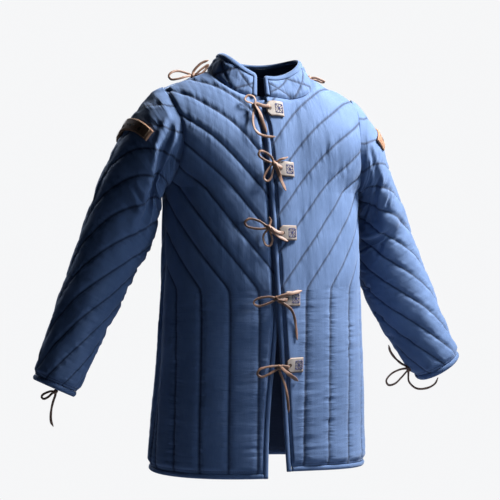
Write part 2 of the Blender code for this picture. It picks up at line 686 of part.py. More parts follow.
def armhole_ring():
    """The sleeve head's inner and outer points on the panels, from the shoulder, front first."""
    if "ring" in _armholes:
        return _armholes["ring"]
    seat = WALL + 0.0010
    loops = {}
    for key, face in (("front", FRONT), ("back", BACK)):
        places = armhole_places(face, 1)
        inner, outer = [], []
        for k, (across, height) in enumerate(places):
            before = Vector(places[max(k - 1, 0)])
            after = Vector(places[min(k + 1, len(places) - 1)])
            run = (after - before).normalized()
            foot = (across - run.y * SLEEVE_SEAT, height + run.x * SLEEVE_SEAT)
            if k == 0:
                foot = (row_length(face, height - SLEEVE_SEAT) - SEAM_GAP, height - SLEEVE_SEAT)
            if k == len(places) - 1:
                foot = (across - SLEEVE_SEAT, height)
            inner.append(raw_at(face, across, height, seat))
            outer.append(raw_at(face, foot[0], min(foot[1], -SEAM_GAP), seat))
        loops[key] = (list(reversed(inner)), list(reversed(outer)))
    ring = []
    crest, underarm = Vector((0.0, 0.0, 0.0026)), Vector((0.0008, 0.0, 0.0))
    for which in (0, 1):
        front, back = loops["front"][which], loops["back"][which]
        joined = [(front[0] + back[0]) / 2 + crest] + front[1:HALF]
        joined += [(front[HALF] + back[HALF]) / 2 + underarm]
        joined += list(reversed(back[1:HALF]))
        ring.append(joined)
    _armholes["ring"] = ring
    return ring


def sleeve_form(side, along, column):
    """The inside of a sleeve's wall, on the wearer's left; columns run from the outer line."""
    row = smooth_row(SLEEVE[side], along)
    outer = Vector((row.outer_x, row.middle_y, row.outer_z))
    inner = Vector((row.inner_x, row.middle_y, row.inner_z))
    reach = (outer - inner) / 2
    reach -= reach.normalized() * SLEEVE_ALLOWANCE
    angle = math.tau * column / SLEEVE_COLUMNS
    spoke = reach * math.cos(angle) + Vector((0.0, -row.depth, 0.0)) * math.sin(angle)
    point = (outer + inner) / 2 + spoke
    fade = clamp(1.0 - along / HEAD_FADE) ** 2
    if fade > 0.0:
        ring = armhole_ring()[0]
        whole = math.floor(column)
        edge = ring[whole % SLEEVE_COLUMNS].lerp(ring[(whole + 1) % SLEEVE_COLUMNS], column - whole)
        start = smooth_row(SLEEVE[side], 0.0)
        top = Vector((start.outer_x, start.middle_y, start.outer_z))
        low = Vector((start.inner_x, start.middle_y, start.inner_z))
        half = (top - low) / 2
        half -= half.normalized() * SLEEVE_ALLOWANCE
        plain = (top + low) / 2 + half * math.cos(angle) + Vector((0, -start.depth, 0)) * math.sin(angle)
        point += (edge - plain) * fade
    for fold in SLEEVE_FOLDS:
        if fold.side == side:
            reach_along = (along - fold.along) / fold.length
            turn = math.degrees(angle) - fold.angle - fold.slant * reach_along
            turn = (turn + 180.0) % 360.0 - 180.0
            amount = math.exp(-reach_along ** 2 - (turn / fold.width) ** 2)
            point += spoke.normalized() * fold.height * amount
    return point


def sleeve_at(side, along, column, out):
    """A point of a sleeve at a distance out from the inside of its wall."""
    base = sleeve_form(side, along, column)
    if out:
        around = sleeve_form(side, along, column + 0.4) - sleeve_form(side, along, column - 0.4)
        down = sleeve_form(side, min(along + 0.01, 1.0), column) - \
            sleeve_form(side, max(along - 0.01, 0.0), column)
        base += around.cross(down).normalized() * out
    return to_side(side, base)


def to_side(side, point):
    return dropped(point if side == "left" else Vector((-point.x, point.y, point.z)))


def sleeve_wall(row, column):
    """Thickness of a sleeve's wall at a place of its lattice."""
    spread = min(column % SLEEVE_COLUMNS, SLEEVE_COLUMNS - column % SLEEVE_COLUMNS)
    fill = 1.0 if 1 < row < SLEEVE_ROWS else 0.55 if row == 1 else 0.0
    return WALL + PUFF * fill * channel_form((row + spread) / PER_CHANNEL + 1e-6)


CUFF_START = 0.984         # share of the sleeve where its binding begins


def row_along(row):
    return CUFF_START * row / SLEEVE_ROWS


def make_sleeve(side, cloth, trim):
    inner_ring, outer_ring = armhole_ring()
    points = [to_side(side, p) for p in outer_ring]
    for row in range(1, SLEEVE_ROWS + 1):
        for column in range(SLEEVE_COLUMNS):
            points.append(sleeve_at(side, row_along(row), column, sleeve_wall(row, column)))
    faces = []
    for row in range(SLEEVE_ROWS):
        for column in range(SLEEVE_COLUMNS):
            after = (column + 1) % SLEEVE_COLUMNS
            a, b = row * SLEEVE_COLUMNS + column, row * SLEEVE_COLUMNS + after
            c, d = a + SLEEVE_COLUMNS, b + SLEEVE_COLUMNS
            if column < HALF:
                faces += [(a, b, c), (b, d, c)]
            else:
                faces += [(a, b, d), (a, d, c)]
    inner_rows = [0, 1] + [r for r in range(2, SLEEVE_ROWS) if r % 2 == 0 or 8 <= r <= 14]
    inner_rows.append(SLEEVE_ROWS)
    base = len(points)
    points += [to_side(side, p) for p in inner_ring]
    for row in inner_rows[1:]:
        points += [sleeve_at(side, row_along(row), column, 0.0) for column in range(SLEEVE_COLUMNS)]
    for step in range(len(inner_rows) - 1):
        for column in range(SLEEVE_COLUMNS):
            after = (column + 1) % SLEEVE_COLUMNS
            a, b = base + step * SLEEVE_COLUMNS + column, base + step * SLEEVE_COLUMNS + after
            c, d = a + SLEEVE_COLUMNS, b + SLEEVE_COLUMNS
            faces += [(a, c, b), (b, c, d)]
    outer_end = SLEEVE_ROWS * SLEEVE_COLUMNS
    inner_end = base + (len(inner_rows) - 1) * SLEEVE_COLUMNS
    for column in range(SLEEVE_COLUMNS):
        after = (column + 1) % SLEEVE_COLUMNS
        faces.append((column, base + column, base + after))
        faces.append((column, base + after, after))
        faces.append((outer_end + column, outer_end + after, inner_end + after))
        faces.append((outer_end + column, inner_end + after, inner_end + column))
    make_object("sleeve_" + side, points, faces, cloth)

    start = CUFF_START + 0.0008
    profile = ((start, 0.0), (start, WALL + 0.0004), ((start + 1) / 2, WALL + TRIM_CROWN),
               (1.0, WALL - 0.0006), (1.0, 0.0006))
    points = []
    for column in range(SLEEVE_COLUMNS):
        points += [sleeve_at(side, along, column, out) for along, out in profile]
    close_sweep("binding_cuff_" + side, points, len(profile), SLEEVE_COLUMNS, trim, True)


# ------------------------------------------------------------------ leather
def make_arm_patch(side, leather):
    """A strap of leather that lies on the upper arm."""
    points = []
    columns = [PATCH_FROM + (PATCH_TO - PATCH_FROM) * k / 6 for k in range(7)]
    for column in columns:
        base = WALL + PUFF + 0.0016
        top, low = (along + PATCH_SLANT * (column - PATCH_MIDDLE) for along in PATCH_SPANS[side])
        ring = ((top, base), (top, base + PATCH_THICK),
                ((top + low) / 2, base + PATCH_THICK + 0.0006),
                (low, base + PATCH_THICK), (low, base), ((top + low) / 2, base + 0.0006))
        points += [sleeve_at(side, along, column, out) for along, out in ring]
    close_sweep("arm_patch_" + side, points, 6, len(columns), leather, False)


PATCH_FROM, PATCH_TO = -2.4, 4.0      # in sleeve columns from the outer line
PATCH_SPANS = {"right": (0.150, 0.204), "left": (0.118, 0.172)}   # in shares of the sleeve
PATCH_MIDDLE = 0.8         # the column where a patch has that span
PATCH_SLANT = -0.0095      # towards the front it climbs by this share with each column

TabRow = namedtuple("TabRow", "name height across lift")
TABS = (
    TabRow("1", -0.161, -0.0025, 0.0009),
    TabRow("2", -0.282, 0.0095, 0.0),
    TabRow("3", -0.4135, 0.0075, 0.0),
    TabRow("4", -0.549, 0.0115, 0.0),
    TabRow("5", -0.687, 0.0205, -0.0005),
)
TAB_CHAMFER = 0.008


def make_tab(tab, leather):
    """A leather tab on the left front, its free end towards the opening."""
    points = []
    base = WALL + PUFF + 0.0009 + tab.lift
    for offset, half in ((-TAB_LENGTH / 2, TAB_WIDTH / 2 - TAB_CHAMFER),
                         (-TAB_LENGTH / 2 + TAB_CHAMFER, TAB_WIDTH / 2),
                         (0.0, TAB_WIDTH / 2), (TAB_LENGTH / 2, TAB_WIDTH / 2)):
        for up, out in ((half, base), (half, base + TAB_THICK), (-half, base + TAB_THICK), (-half, base)):
            points.append(cloth_at(FRONT, tab.across + offset, tab.height + up, out, True))
    close_sweep("tab_" + tab.name, points, 4, 4, leather, False)


MM = 0.001
# Each tie's laces, in millimetres from its tab's middle: across, up, and out from the inside of
# the left front. The first lace comes from the tab's hole and passes over the knot.
KNOTS = {"1": (-46, 7), "2": (-26, 9), "3": (-40, 10), "4": (-32, 1), "5": (-35, -3)}
TIES = {
    "tie_1_strap": ((-12, 3, 17.5), (-26, 3, 18.2), (-45, 8, 20.8), (-37, -9, 16), (-32, -30, 14),
                    (-26, -49, 14)),
    "tie_1_loop": ((-52, 14, 15), (-61, 19, 15), (-65, 26, 15.5), (-57, 32, 16), (-46, 28, 16),
                   (-42, 20, 15.5), (-43, 14, 15)),
    "tie_1_tail": ((-48, 0, 14.5), (-52, -11, 14), (-54, -28, 14), (-50, -43, 14), (-39, -53, 14),
                   (-22, -57, 14), (-7, -57, 14)),
    "tie_2_strap": ((-11, 0, 16.7), (-16, 4, 17.8), (-26, 9, 20.0), (-20, -5, 18.5), (-13, -24, 15),
                    (-4, -45, 14)),
    "tie_2_loop": ((-33, 11, 15), (-46, 16, 15), (-58, 26, 16), (-55, 35, 16.5), (-44, 32, 16),
                   (-33, 24, 15.5), (-28, 16, 15)),
    "tie_2_tail": ((-20, 12, 15.5), (-13, 17, 17), (-4, 20, 17), (5, 24, 17)),
    "tie_2_low_loop": ((-32, 5, 15), (-42, -7, 14.5), (-48, -20, 14), (-41, -27, 14), (-33, -19, 14),
                       (-29, -6, 14.5), (-27, 1, 15)),
    "tie_3_strap": ((-12, -2, 17), (-23, 1, 17.5), (-40, 10, 20.3), (-27, -4, 18), (-15, -12, 17.5),
                    (-3, -18, 17.5)),
    "tie_3_loop": ((-47, 8, 15), (-62, 7, 15), (-82, 11, 15), (-87, 20, 15.5), (-77, 27, 16),
                   (-60, 23, 15.5), (-46, 14, 15)),
    "tie_3_tail": ((-38, 17, 15), (-36, 24, 15), (-39, 31, 16)),
    "tie_3_low_loop": ((-45, 4, 15), (-52, -8, 14.5), (-49, -23, 14), (-40, -27, 14), (-34, -16, 14),
                       (-36, -5, 14.5), (-39, 3, 15)),
    "tie_4_strap": ((-12, -2, 17), (-21, -1, 17.5), (-32, 3, 20.5), (-16, 8, 18.5), (1, 12, 17.5),
                    (21, 16, 17.5)),
    "tie_4_loop": ((-38, 3, 15), (-51, 5, 15), (-71, 1, 15), (-78, -7, 15), (-69, -14, 15),
                   (-51, -9, 15), (-38, -3, 15)),
    "tie_4_tail": ((-28, -5, 15.5), (-16, -12, 17), (-2, -25, 17), (7, -49, 14.5), (12, -86, 14)),
    "tie_5_strap": ((-15, -4, 16.3), (-24, -2, 17.3), (-34, -1, 20.5), (-22, -13, 18), (-7, -24, 17),
                    (7, -33, 14.5)),
    "tie_5_loop": ((-41, 0, 15), (-57, -1, 15), (-74, -6, 15), (-79, -16, 15), (-70, -22, 15),
                   (-54, -15, 15), (-41, -7, 15)),
    "tie_5_tail": ((-34, -13, 15.5), (-29, -25, 14.5), (-21, -45, 14), (-16, -71, 14), (-13, -98, 14)),
}
KNOT_SIZE = (0.0055, 0.0036, 0.0048)   # half sizes: across, out and up
KNOT_OUT = WALL + PUFF + 0.0006 + KNOT_SIZE[1]
KNOT_GAP = 0.0007          # between a knot and the laces that leave it
KNOT_REACH = 0.017         # a lace's end nearer than this belongs to the knot


def add_lace(name, points, diameter, leather):
    """A round lace along a smooth path through its points."""
    curve = bpy.data.curves.new(name, "CURVE")
    curve.dimensions = "3D"
    curve.bevel_depth = diameter / 2
    curve.bevel_resolution = 2
    curve.use_fill_caps = True
    path = smooth_path(points, LACE_STEP)
    spline = curve.splines.new("POLY")
    spline.points.add(len(path) - 1)
    for spot, p in zip(spline.points, path):
        spot.co = (p.x, p.y, p.z, 1.0)
    curve.materials.append(leather)
    thing = bpy.data.objects.new(name, curve)
    coat.objects.link(thing)
    return thing


def add_knot(name, centre, half_sizes, leather):
    mesh = bpy.data.meshes.new(name)
    shape = bmesh.new()
    bmesh.ops.create_uvsphere(shape, u_segments=10, v_segments=7, radius=1.0)
    for vert in shape.verts:
        vert.co = Vector(c * s for c, s in zip(vert.co, half_sizes))
    shape.to_mesh(mesh)
    shape.free()
    mesh.shade_smooth()
    mesh.materials.append(leather)
    thing = bpy.data.objects.new(name, mesh)
    thing.location = centre
    coat.objects.link(thing)
    return thing


def to_knot(points, centre):
    """A lace's points, with each end that is near the knot drawn on to the knot's surface."""
    path = list(points)
    for end in (len(path), 0):
        away = path[max(end - 1, 0)] - centre
        spoke = away.normalized()
        surface = 1.0 / math.sqrt(sum((part / size) ** 2 for part, size in zip(spoke, KNOT_SIZE)))
        if surface + KNOT_GAP + 0.0006 < away.length < KNOT_REACH:
            path.insert(end, centre + spoke * (surface + KNOT_GAP))
    return path


def make_ties(leather):
    tabs = {tab.name: tab for tab in TABS}
    centres = {}
    for number, (across, up) in KNOTS.items():
        tab = tabs[number]
        centres[number] = cloth_at(FRONT, tab.across + across * MM, tab.height + up * MM, KNOT_OUT, True)
        add_knot("tie_" + number + "_knot", centres[number], KNOT_SIZE, leather)
    for name, route in TIES.items():
        tab = tabs[name.split("_")[1]]
        points = [cloth_at(FRONT, tab.across + x * MM, tab.height + up * MM, out * MM, True)
                  for x, up, out in route]
        add_lace(name, to_knot(points, centres[tab.name]), LACE, leather)


# Laces at the shoulders and cuffs, as places in metres.
FREE_LACES = {
    "shoulder_right_ring": ((-0.158, -0.001, -0.003), (-0.171, -0.008, -0.006), (-0.186, -0.010, -0.010),
                            (-0.199, -0.008, -0.011), (-0.203, -0.004, -0.003), (-0.194, -0.001, 0.005),
                            (-0.178, 0.003, 0.007), (-0.158, 0.006, 0.002)),
    "shoulder_right_leaf": ((-0.140, 0.002, 0.002), (-0.130, 0.002, 0.011), (-0.114, 0.003, 0.021),
                            (-0.124, -0.003, 0.008), (-0.138, -0.004, -0.002)),
    "shoulder_right_tail": ((-0.145, 0.010, 0.006), (-0.138, 0.011, 0.015), (-0.126, 0.011, 0.025),
                            (-0.111, 0.010, 0.031)),
    "shoulder_left_loop": ((0.1275, 0.015, -0.004), (0.135, 0.013, -0.005), (0.146, 0.013, -0.009),
                           (0.154, 0.015, -0.013), (0.150, 0.020, -0.014), (0.140, 0.022, -0.010),
                           (0.1275, 0.021, -0.008)),
    "cuff_right_tail": ((-0.433, 0.078, -0.6835), (-0.4375, 0.077, -0.695), (-0.4415, 0.076, -0.710),
                        (-0.4435, 0.075, -0.726), (-0.4425, 0.075, -0.739), (-0.438, 0.075, -0.749)),
    "cuff_right_loop": ((-0.4410, 0.078, -0.679), (-0.448, 0.077, -0.685), (-0.458, 0.076, -0.689),
                        (-0.463, 0.076, -0.684), (-0.457, 0.077, -0.678), (-0.4435, 0.078, -0.6735)),
    "cuff_left_loop": ((0.3478, 0.0185, -0.6452), (0.3318, 0.0165, -0.6472), (0.3118, 0.0135, -0.6552),
                       (0.2998, 0.0135, -0.6692), (0.3058, 0.0145, -0.6802), (0.3218, 0.0155, -0.6772),
                       (0.3378, 0.0175, -0.6642), (0.3488, 0.0185, -0.6532)),
    "cuff_left_tail": ((0.3498, 0.0205, -0.6402), (0.3348, 0.0175, -0.6322), (0.3198, 0.0155, -0.6192),
                       (0.3098, 0.0155, -0.6052), (0.3058, 0.0155, -0.5912)),
    "cuff_left_low_loop": ((0.3548, 0.0195, -0.6562), (0.3558, 0.0175, -0.6752), (0.3728, 0.0155, -0.6902),
                           (0.3968, 0.0135, -0.6902), (0.4148, 0.0115, -0.6812), (0.4228, 0.0115, -0.6672)),
}
FREE_KNOTS = {
    "shoulder_right_knot": (-0.1483, 0.0044, -0.0021),
    "shoulder_left_knot": (0.1189, 0.0171, -0.0051),
    "cuff_right_knot": (-0.432, 0.0782, -0.6741),
    "cuff_left_knot": (0.3554, 0.0199, -0.6473),
}


def build():
    start_scene()
    cloth = make_material("blue_cotton", NAVY, 0.85)
    trim = make_material("blue_binding", NAVY_DARK, 0.80)
    tan = make_material("tan_leather", TAN, 0.55)
    natural = make_material("natural_leather", NATURAL, 0.60)
    brown = make_material("brown_leather", BROWN, 0.50)

    left = front_outline("left")
    make_panel("front_left", FRONT, left, PHASE_LEFT, (1,), True, cloth)
    right = [(-x, y) for x, y in reversed(front_outline("right"))]
    make_panel("front_right", FRONT, right, PHASE_RIGHT, (-1,), False, cloth)
    make_panel("back", BACK, back_outline(), 0.0, (1, -1), False, cloth)

    make_front_binding("left", trim)
    make_front_binding("right", trim)
    hem_end = row_length(FRONT, HEM) - SEAM_GAP
    back_end = row_length(BACK, HEM) - SEAM_GAP
    inset = TRIM + 2 * SEAM_GAP
    make_hem_binding("left", FRONT, edge_across(HEM, "left") + inset, hem_end, trim)
    make_hem_binding("right", FRONT, -hem_end, -edge_across(HEM, "right") - inset, trim)
    make_hem_binding("back", BACK, -back_end, back_end, trim)
    make_collar(cloth, trim)
    for side in ("left", "right"):
        make_sleeve(side, cloth, trim)
        make_arm_patch(side, brown)
    for tab in TABS:
        make_tab(tab, natural)
    make_ties(tan)
    for name, route in FREE_LACES.items():
        knot = next(key for key in FREE_KNOTS if name.startswith(key[:-len("knot")]))
        add_lace(name, to_knot([Vector(p) for p in route], Vector(FREE_KNOTS[knot])), LACE, tan)
    for name, centre in FREE_KNOTS.items():
        add_knot(name, centre, KNOT_SIZE, tan)


build()
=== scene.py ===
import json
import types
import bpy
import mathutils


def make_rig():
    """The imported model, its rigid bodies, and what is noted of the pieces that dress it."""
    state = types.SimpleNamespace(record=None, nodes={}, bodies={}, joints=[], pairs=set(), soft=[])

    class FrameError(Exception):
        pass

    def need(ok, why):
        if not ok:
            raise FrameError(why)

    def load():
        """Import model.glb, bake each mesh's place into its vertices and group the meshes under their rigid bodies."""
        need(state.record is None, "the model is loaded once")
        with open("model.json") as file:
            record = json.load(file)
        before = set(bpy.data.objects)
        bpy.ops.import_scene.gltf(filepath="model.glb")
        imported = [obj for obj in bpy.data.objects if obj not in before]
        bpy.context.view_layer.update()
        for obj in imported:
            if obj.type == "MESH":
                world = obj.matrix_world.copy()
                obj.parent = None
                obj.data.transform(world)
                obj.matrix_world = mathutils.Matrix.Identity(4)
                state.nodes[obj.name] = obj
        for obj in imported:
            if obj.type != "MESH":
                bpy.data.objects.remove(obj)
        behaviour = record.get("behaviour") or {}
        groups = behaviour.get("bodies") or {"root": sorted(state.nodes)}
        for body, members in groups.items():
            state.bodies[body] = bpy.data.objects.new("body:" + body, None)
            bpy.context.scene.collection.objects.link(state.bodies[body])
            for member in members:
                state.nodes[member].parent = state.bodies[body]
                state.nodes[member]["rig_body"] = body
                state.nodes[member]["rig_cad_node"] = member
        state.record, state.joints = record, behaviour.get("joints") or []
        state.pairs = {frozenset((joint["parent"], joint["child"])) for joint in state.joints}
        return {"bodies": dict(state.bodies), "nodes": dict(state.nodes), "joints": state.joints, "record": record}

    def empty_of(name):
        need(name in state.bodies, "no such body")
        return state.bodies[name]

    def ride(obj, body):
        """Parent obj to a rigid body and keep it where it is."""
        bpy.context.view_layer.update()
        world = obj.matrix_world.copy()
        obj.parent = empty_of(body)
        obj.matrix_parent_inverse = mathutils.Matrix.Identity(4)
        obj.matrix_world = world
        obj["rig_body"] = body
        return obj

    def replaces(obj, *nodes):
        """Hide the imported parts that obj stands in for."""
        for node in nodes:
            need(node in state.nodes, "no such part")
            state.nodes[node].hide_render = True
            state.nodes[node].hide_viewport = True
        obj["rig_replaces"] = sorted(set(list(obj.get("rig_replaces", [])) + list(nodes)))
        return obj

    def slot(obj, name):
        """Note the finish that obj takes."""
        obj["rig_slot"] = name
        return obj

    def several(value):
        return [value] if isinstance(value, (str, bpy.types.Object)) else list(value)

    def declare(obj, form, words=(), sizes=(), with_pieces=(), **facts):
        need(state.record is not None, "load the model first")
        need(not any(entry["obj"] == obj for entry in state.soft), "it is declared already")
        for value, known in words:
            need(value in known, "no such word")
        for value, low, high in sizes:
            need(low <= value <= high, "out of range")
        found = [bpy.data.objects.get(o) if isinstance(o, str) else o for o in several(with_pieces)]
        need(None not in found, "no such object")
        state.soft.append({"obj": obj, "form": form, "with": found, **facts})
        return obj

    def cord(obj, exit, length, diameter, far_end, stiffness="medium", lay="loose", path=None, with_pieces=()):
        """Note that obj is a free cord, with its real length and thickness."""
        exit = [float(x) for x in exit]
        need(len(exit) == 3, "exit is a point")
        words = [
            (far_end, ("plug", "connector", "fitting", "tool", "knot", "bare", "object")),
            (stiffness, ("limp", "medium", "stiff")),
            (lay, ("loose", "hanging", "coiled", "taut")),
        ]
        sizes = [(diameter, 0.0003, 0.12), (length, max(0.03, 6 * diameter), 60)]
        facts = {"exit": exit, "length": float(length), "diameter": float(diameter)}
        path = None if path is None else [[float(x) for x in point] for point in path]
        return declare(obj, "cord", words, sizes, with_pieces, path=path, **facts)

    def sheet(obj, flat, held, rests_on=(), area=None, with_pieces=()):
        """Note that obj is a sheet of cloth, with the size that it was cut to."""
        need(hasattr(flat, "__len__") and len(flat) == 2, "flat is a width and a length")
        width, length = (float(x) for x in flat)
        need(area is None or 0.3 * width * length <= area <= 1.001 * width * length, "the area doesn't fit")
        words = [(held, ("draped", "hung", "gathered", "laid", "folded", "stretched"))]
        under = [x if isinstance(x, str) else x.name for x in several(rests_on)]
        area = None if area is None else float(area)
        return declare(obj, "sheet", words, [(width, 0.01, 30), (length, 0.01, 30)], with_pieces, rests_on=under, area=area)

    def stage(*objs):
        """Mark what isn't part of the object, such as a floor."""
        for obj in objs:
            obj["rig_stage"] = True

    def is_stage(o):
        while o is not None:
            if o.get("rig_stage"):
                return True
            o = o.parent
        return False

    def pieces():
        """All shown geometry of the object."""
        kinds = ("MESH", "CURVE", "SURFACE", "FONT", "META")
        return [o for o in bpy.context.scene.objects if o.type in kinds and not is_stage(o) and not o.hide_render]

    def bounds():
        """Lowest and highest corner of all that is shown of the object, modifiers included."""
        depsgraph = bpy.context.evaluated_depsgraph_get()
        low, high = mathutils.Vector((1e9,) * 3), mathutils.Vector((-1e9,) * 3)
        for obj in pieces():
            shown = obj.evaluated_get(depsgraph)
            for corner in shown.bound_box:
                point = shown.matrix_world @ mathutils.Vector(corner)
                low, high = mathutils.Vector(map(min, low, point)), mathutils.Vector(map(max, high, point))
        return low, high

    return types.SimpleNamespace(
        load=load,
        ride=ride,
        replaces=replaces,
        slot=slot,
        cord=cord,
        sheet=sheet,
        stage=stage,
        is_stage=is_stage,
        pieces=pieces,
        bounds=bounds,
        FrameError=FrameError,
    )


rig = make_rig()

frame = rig.load()
CAD_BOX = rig.bounds()

import json
import math
import bmesh
import bpy
import numpy as np
from mathutils import Vector

# ------------------------------------------------------------------ sizes, in metres
WALL, PUFF, GAP = 0.0040, 0.0065, 0.0003
PUFF_SHARE, RELIEF_SHARE, THINNEST = 0.97, 0.8, 0.0028     # how far padding and puckers rise
TRIM, TRIM_CROWN = 0.010, 0.0022
CHANNEL, RISE = 0.060, 1.25
PITCH = CHANNEL * RISE
WAIST, HEM, HEM_RISE, ARMPIT = -0.530, -0.922, 0.013, -0.325
FRONT_NECK, FLAP_TOP, BACK_NECK, SIDE_NECK = -0.130, -0.139, -0.088, 0.1146
PHASE_RIGHT, PHASE_LEFT = 0.0525, 0.0475
LAP_LIFT, LAP_RAMP = 0.0072, 0.045
SHOULDER_DROP, DROP_FULL, DROP_NONE, SWAY = 0.060, -0.15, -0.45, 0.009
COLLAR_TOP_FRONT, COLLAR_TOP_SIDE, COLLAR_TOP_BACK = -0.004, 0.040, 0.024
COLLAR_LEAN_X, COLLAR_LEAN_Y, COLLAR_SEAT = 0.77, 0.76, 0.0045
COLLAR_LEFT_START, COLLAR_RIGHT_START = -0.0165, -0.0325
COLUMNS, SLEEVE_ALLOWANCE, HEAD_FADE, CUFF_START, SLEEVE_SEAT = 24, 0.008, 0.30, 0.984, 0.0045
SLEEVE_RUN, COLUMN_RUN = 0.66, 0.021   # metres down a sleeve, and round it for a column
MM = 0.001
CELL, COARSE = 0.0027, 3   # spacing of the cloth's points, of which the lining takes every third

# height mid_y mid_z side_x side_y side_z reach fall end_x end_y end_z: curves from the middle of a
# panel to its side, with how they leave the one and arrive at the other
FRONT_ROWS = (
    (-0.930, -0.178, -0.850, 0.2315, -0.010, -0.850, 0.138, 0.000, 0.000, 0.095, 0.000),
    (-0.700, -0.168, -0.620, 0.2180, -0.010, -0.620, 0.130, 0.000, 0.000, 0.090, 0.000),
    (-0.530, -0.160, -0.450, 0.2100, -0.010, -0.450, 0.125, 0.000, 0.000, 0.085, 0.000),
    (-0.430, -0.150, -0.350, 0.2080, -0.010, -0.350, 0.125, 0.000, 0.000, 0.080, 0.000),
    (-0.325, -0.136, -0.245, 0.2100, -0.010, -0.245, 0.125, 0.000, 0.010, 0.072, 0.000),
    (-0.265, -0.124, -0.185, 0.2030, -0.062, -0.212, 0.110, 0.000, 0.035, 0.055, -0.004),
    (-0.200, -0.108, -0.120, 0.1970, -0.085, -0.162, 0.095, 0.000, 0.050, 0.045, -0.010),
    (-0.130, -0.078, -0.050, 0.2000, -0.078, -0.118, 0.080, -0.008, 0.052, 0.030, -0.015),
    (-0.065, -0.042, 0.008, 0.2090, -0.045, -0.078, 0.074, -0.022, 0.064, 0.016, -0.026),
    (0.000, 0.010, 0.046, 0.2150, 0.010, -0.048, 0.070, -0.031, 0.070, 0.000, -0.031),
)
BACK_ROWS = (
    (-0.930, 0.150, -0.850, 0.2315, -0.010, -0.850, 0.138, 0.000, 0.000, -0.090, 0.000),
    (-0.700, 0.136, -0.620, 0.2180, -0.010, -0.620, 0.130, 0.000, 0.000, -0.085, 0.000),
    (-0.530, 0.126, -0.450, 0.2100, -0.010, -0.450, 0.125, 0.000, 0.000, -0.080, 0.000),
    (-0.430, 0.130, -0.350, 0.2080, -0.010, -0.350, 0.125, 0.000, 0.000, -0.080, 0.000),
    (-0.325, 0.134, -0.245, 0.2100, -0.010, -0.245, 0.125, 0.000, 0.010, -0.078, 0.000),
    (-0.265, 0.132, -0.178, 0.2030, 0.055, -0.215, 0.115, 0.000, 0.035, -0.055, -0.004),
    (-0.200, 0.124, -0.110, 0.1960, 0.090, -0.165, 0.100, -0.004, 0.050, -0.035, -0.010),
    (-0.130, 0.106, -0.040, 0.1980, 0.088, -0.115, 0.085, -0.014, 0.055, -0.025, -0.018),
    (-0.065, 0.070, 0.022, 0.2080, 0.056, -0.074, 0.074, -0.026, 0.066, -0.014, -0.028),
    (0.000, 0.010, 0.046, 0.2150, 0.010, -0.048, 0.070, -0.031, 0.070, 0.000, -0.031),
)
# height, left front's edge, right front's edge, across the pattern
EDGES = (
    (-0.930, 0.011, -0.031), (-0.780, -0.001, -0.027), (-0.650, -0.012, -0.017),
    (-0.530, -0.020, -0.010), (-0.380, -0.024, -0.008), (-0.205, -0.029, -0.008),
    (-0.160, -0.038, -0.008), (-0.130, -0.048, -0.008),
)
# along outer_x outer_z inner_x inner_z middle_y depth: the sleeve's ovals from armhole to cuff
SLEEVES = {
    "right": (
        (0.00, 0.215, -0.048, 0.210, -0.245, 0.000, 0.088),
        (0.12, 0.263, -0.096, 0.228, -0.258, 0.010, 0.092),
        (0.26, 0.303, -0.160, 0.231, -0.300, 0.020, 0.090),
        (0.42, 0.346, -0.255, 0.236, -0.362, 0.034, 0.082),
        (0.58, 0.387, -0.362, 0.272, -0.428, 0.040, 0.074),
        (0.74, 0.425, -0.462, 0.315, -0.512, 0.040, 0.066),
        (0.88, 0.462, -0.560, 0.362, -0.600, 0.036, 0.058),
        (1.00, 0.492, -0.640, 0.402, -0.682, 0.030, 0.052),
    ),
    "left": (
        (0.00, 0.215, -0.048, 0.210, -0.245, 0.000, 0.088),
        (0.12, 0.254, -0.097, 0.225, -0.258, 0.010, 0.092),
        (0.26, 0.285, -0.168, 0.231, -0.300, 0.020, 0.090),
        (0.42, 0.331, -0.262, 0.236, -0.362, 0.034, 0.082),
        (0.58, 0.370, -0.362, 0.245, -0.432, 0.040, 0.074),
        (0.74, 0.408, -0.460, 0.279, -0.516, 0.036, 0.066),
        (0.88, 0.442, -0.548, 0.327, -0.594, 0.030, 0.058),
        (1.00, 0.474, -0.615, 0.380, -0.674, 0.022, 0.052),
    ),
}
# side, along, length, angle, width, height, slant: the main folds, which the solids have too
SLEEVE_FOLDS = (
    ("right", 0.22, 0.20, 118.0, 20.0, -0.016, 0.0),
    ("right", 0.16, 0.14, 150.0, 22.0, 0.007, 0.0),
    ("left", 0.47, 0.040, 105.0, 50.0, -0.013, 0.0),
    ("left", 0.41, 0.045, 110.0, 45.0, 0.008, 0.0),
    ("left", 0.30, 0.12, 128.0, 20.0, -0.012, 0.0),
)


# ------------------------------------------------------------------ camera
VIEW_AZIMUTH, VIEW_HEIGHT, VIEW_DISTANCE, VIEW_SPAN = -18.0, 3.0, 4.5, 1.075
AIM = Vector((-0.0215, 0.0, -0.375))
turn, lift = math.radians(VIEW_AZIMUTH), math.radians(VIEW_HEIGHT)
toward = Vector((math.sin(turn) * math.cos(lift), -math.cos(turn) * math.cos(lift), math.sin(lift)))
lens = bpy.data.cameras.new("camera")
lens.sensor_width = 36.0
lens.lens = 36.0 * VIEW_DISTANCE / VIEW_SPAN
lens.clip_end = 60.0
camera = bpy.data.objects.new("camera", lens)
camera.location = AIM + toward * VIEW_DISTANCE
camera.rotation_euler = (-toward).to_track_quat("-Z", "Y").to_euler()
bpy.context.scene.collection.objects.link(camera)
bpy.context.scene.camera = camera


# ------------------------------------------------------------------ form of the coat
def step(value):
    """An even rise from 0 to 1."""
    t = np.clip(value, 0.0, 1.0)
    return t * t * (3.0 - 2.0 * t)


def unit(vectors):
    return vectors / np.linalg.norm(vectors, axis=-1, keepdims=True)


def run_along(line):
    """Distance gone at each point of a line."""
    return np.concatenate(([0.0], np.cumsum(np.linalg.norm(np.diff(line, axis=0), axis=-1))))


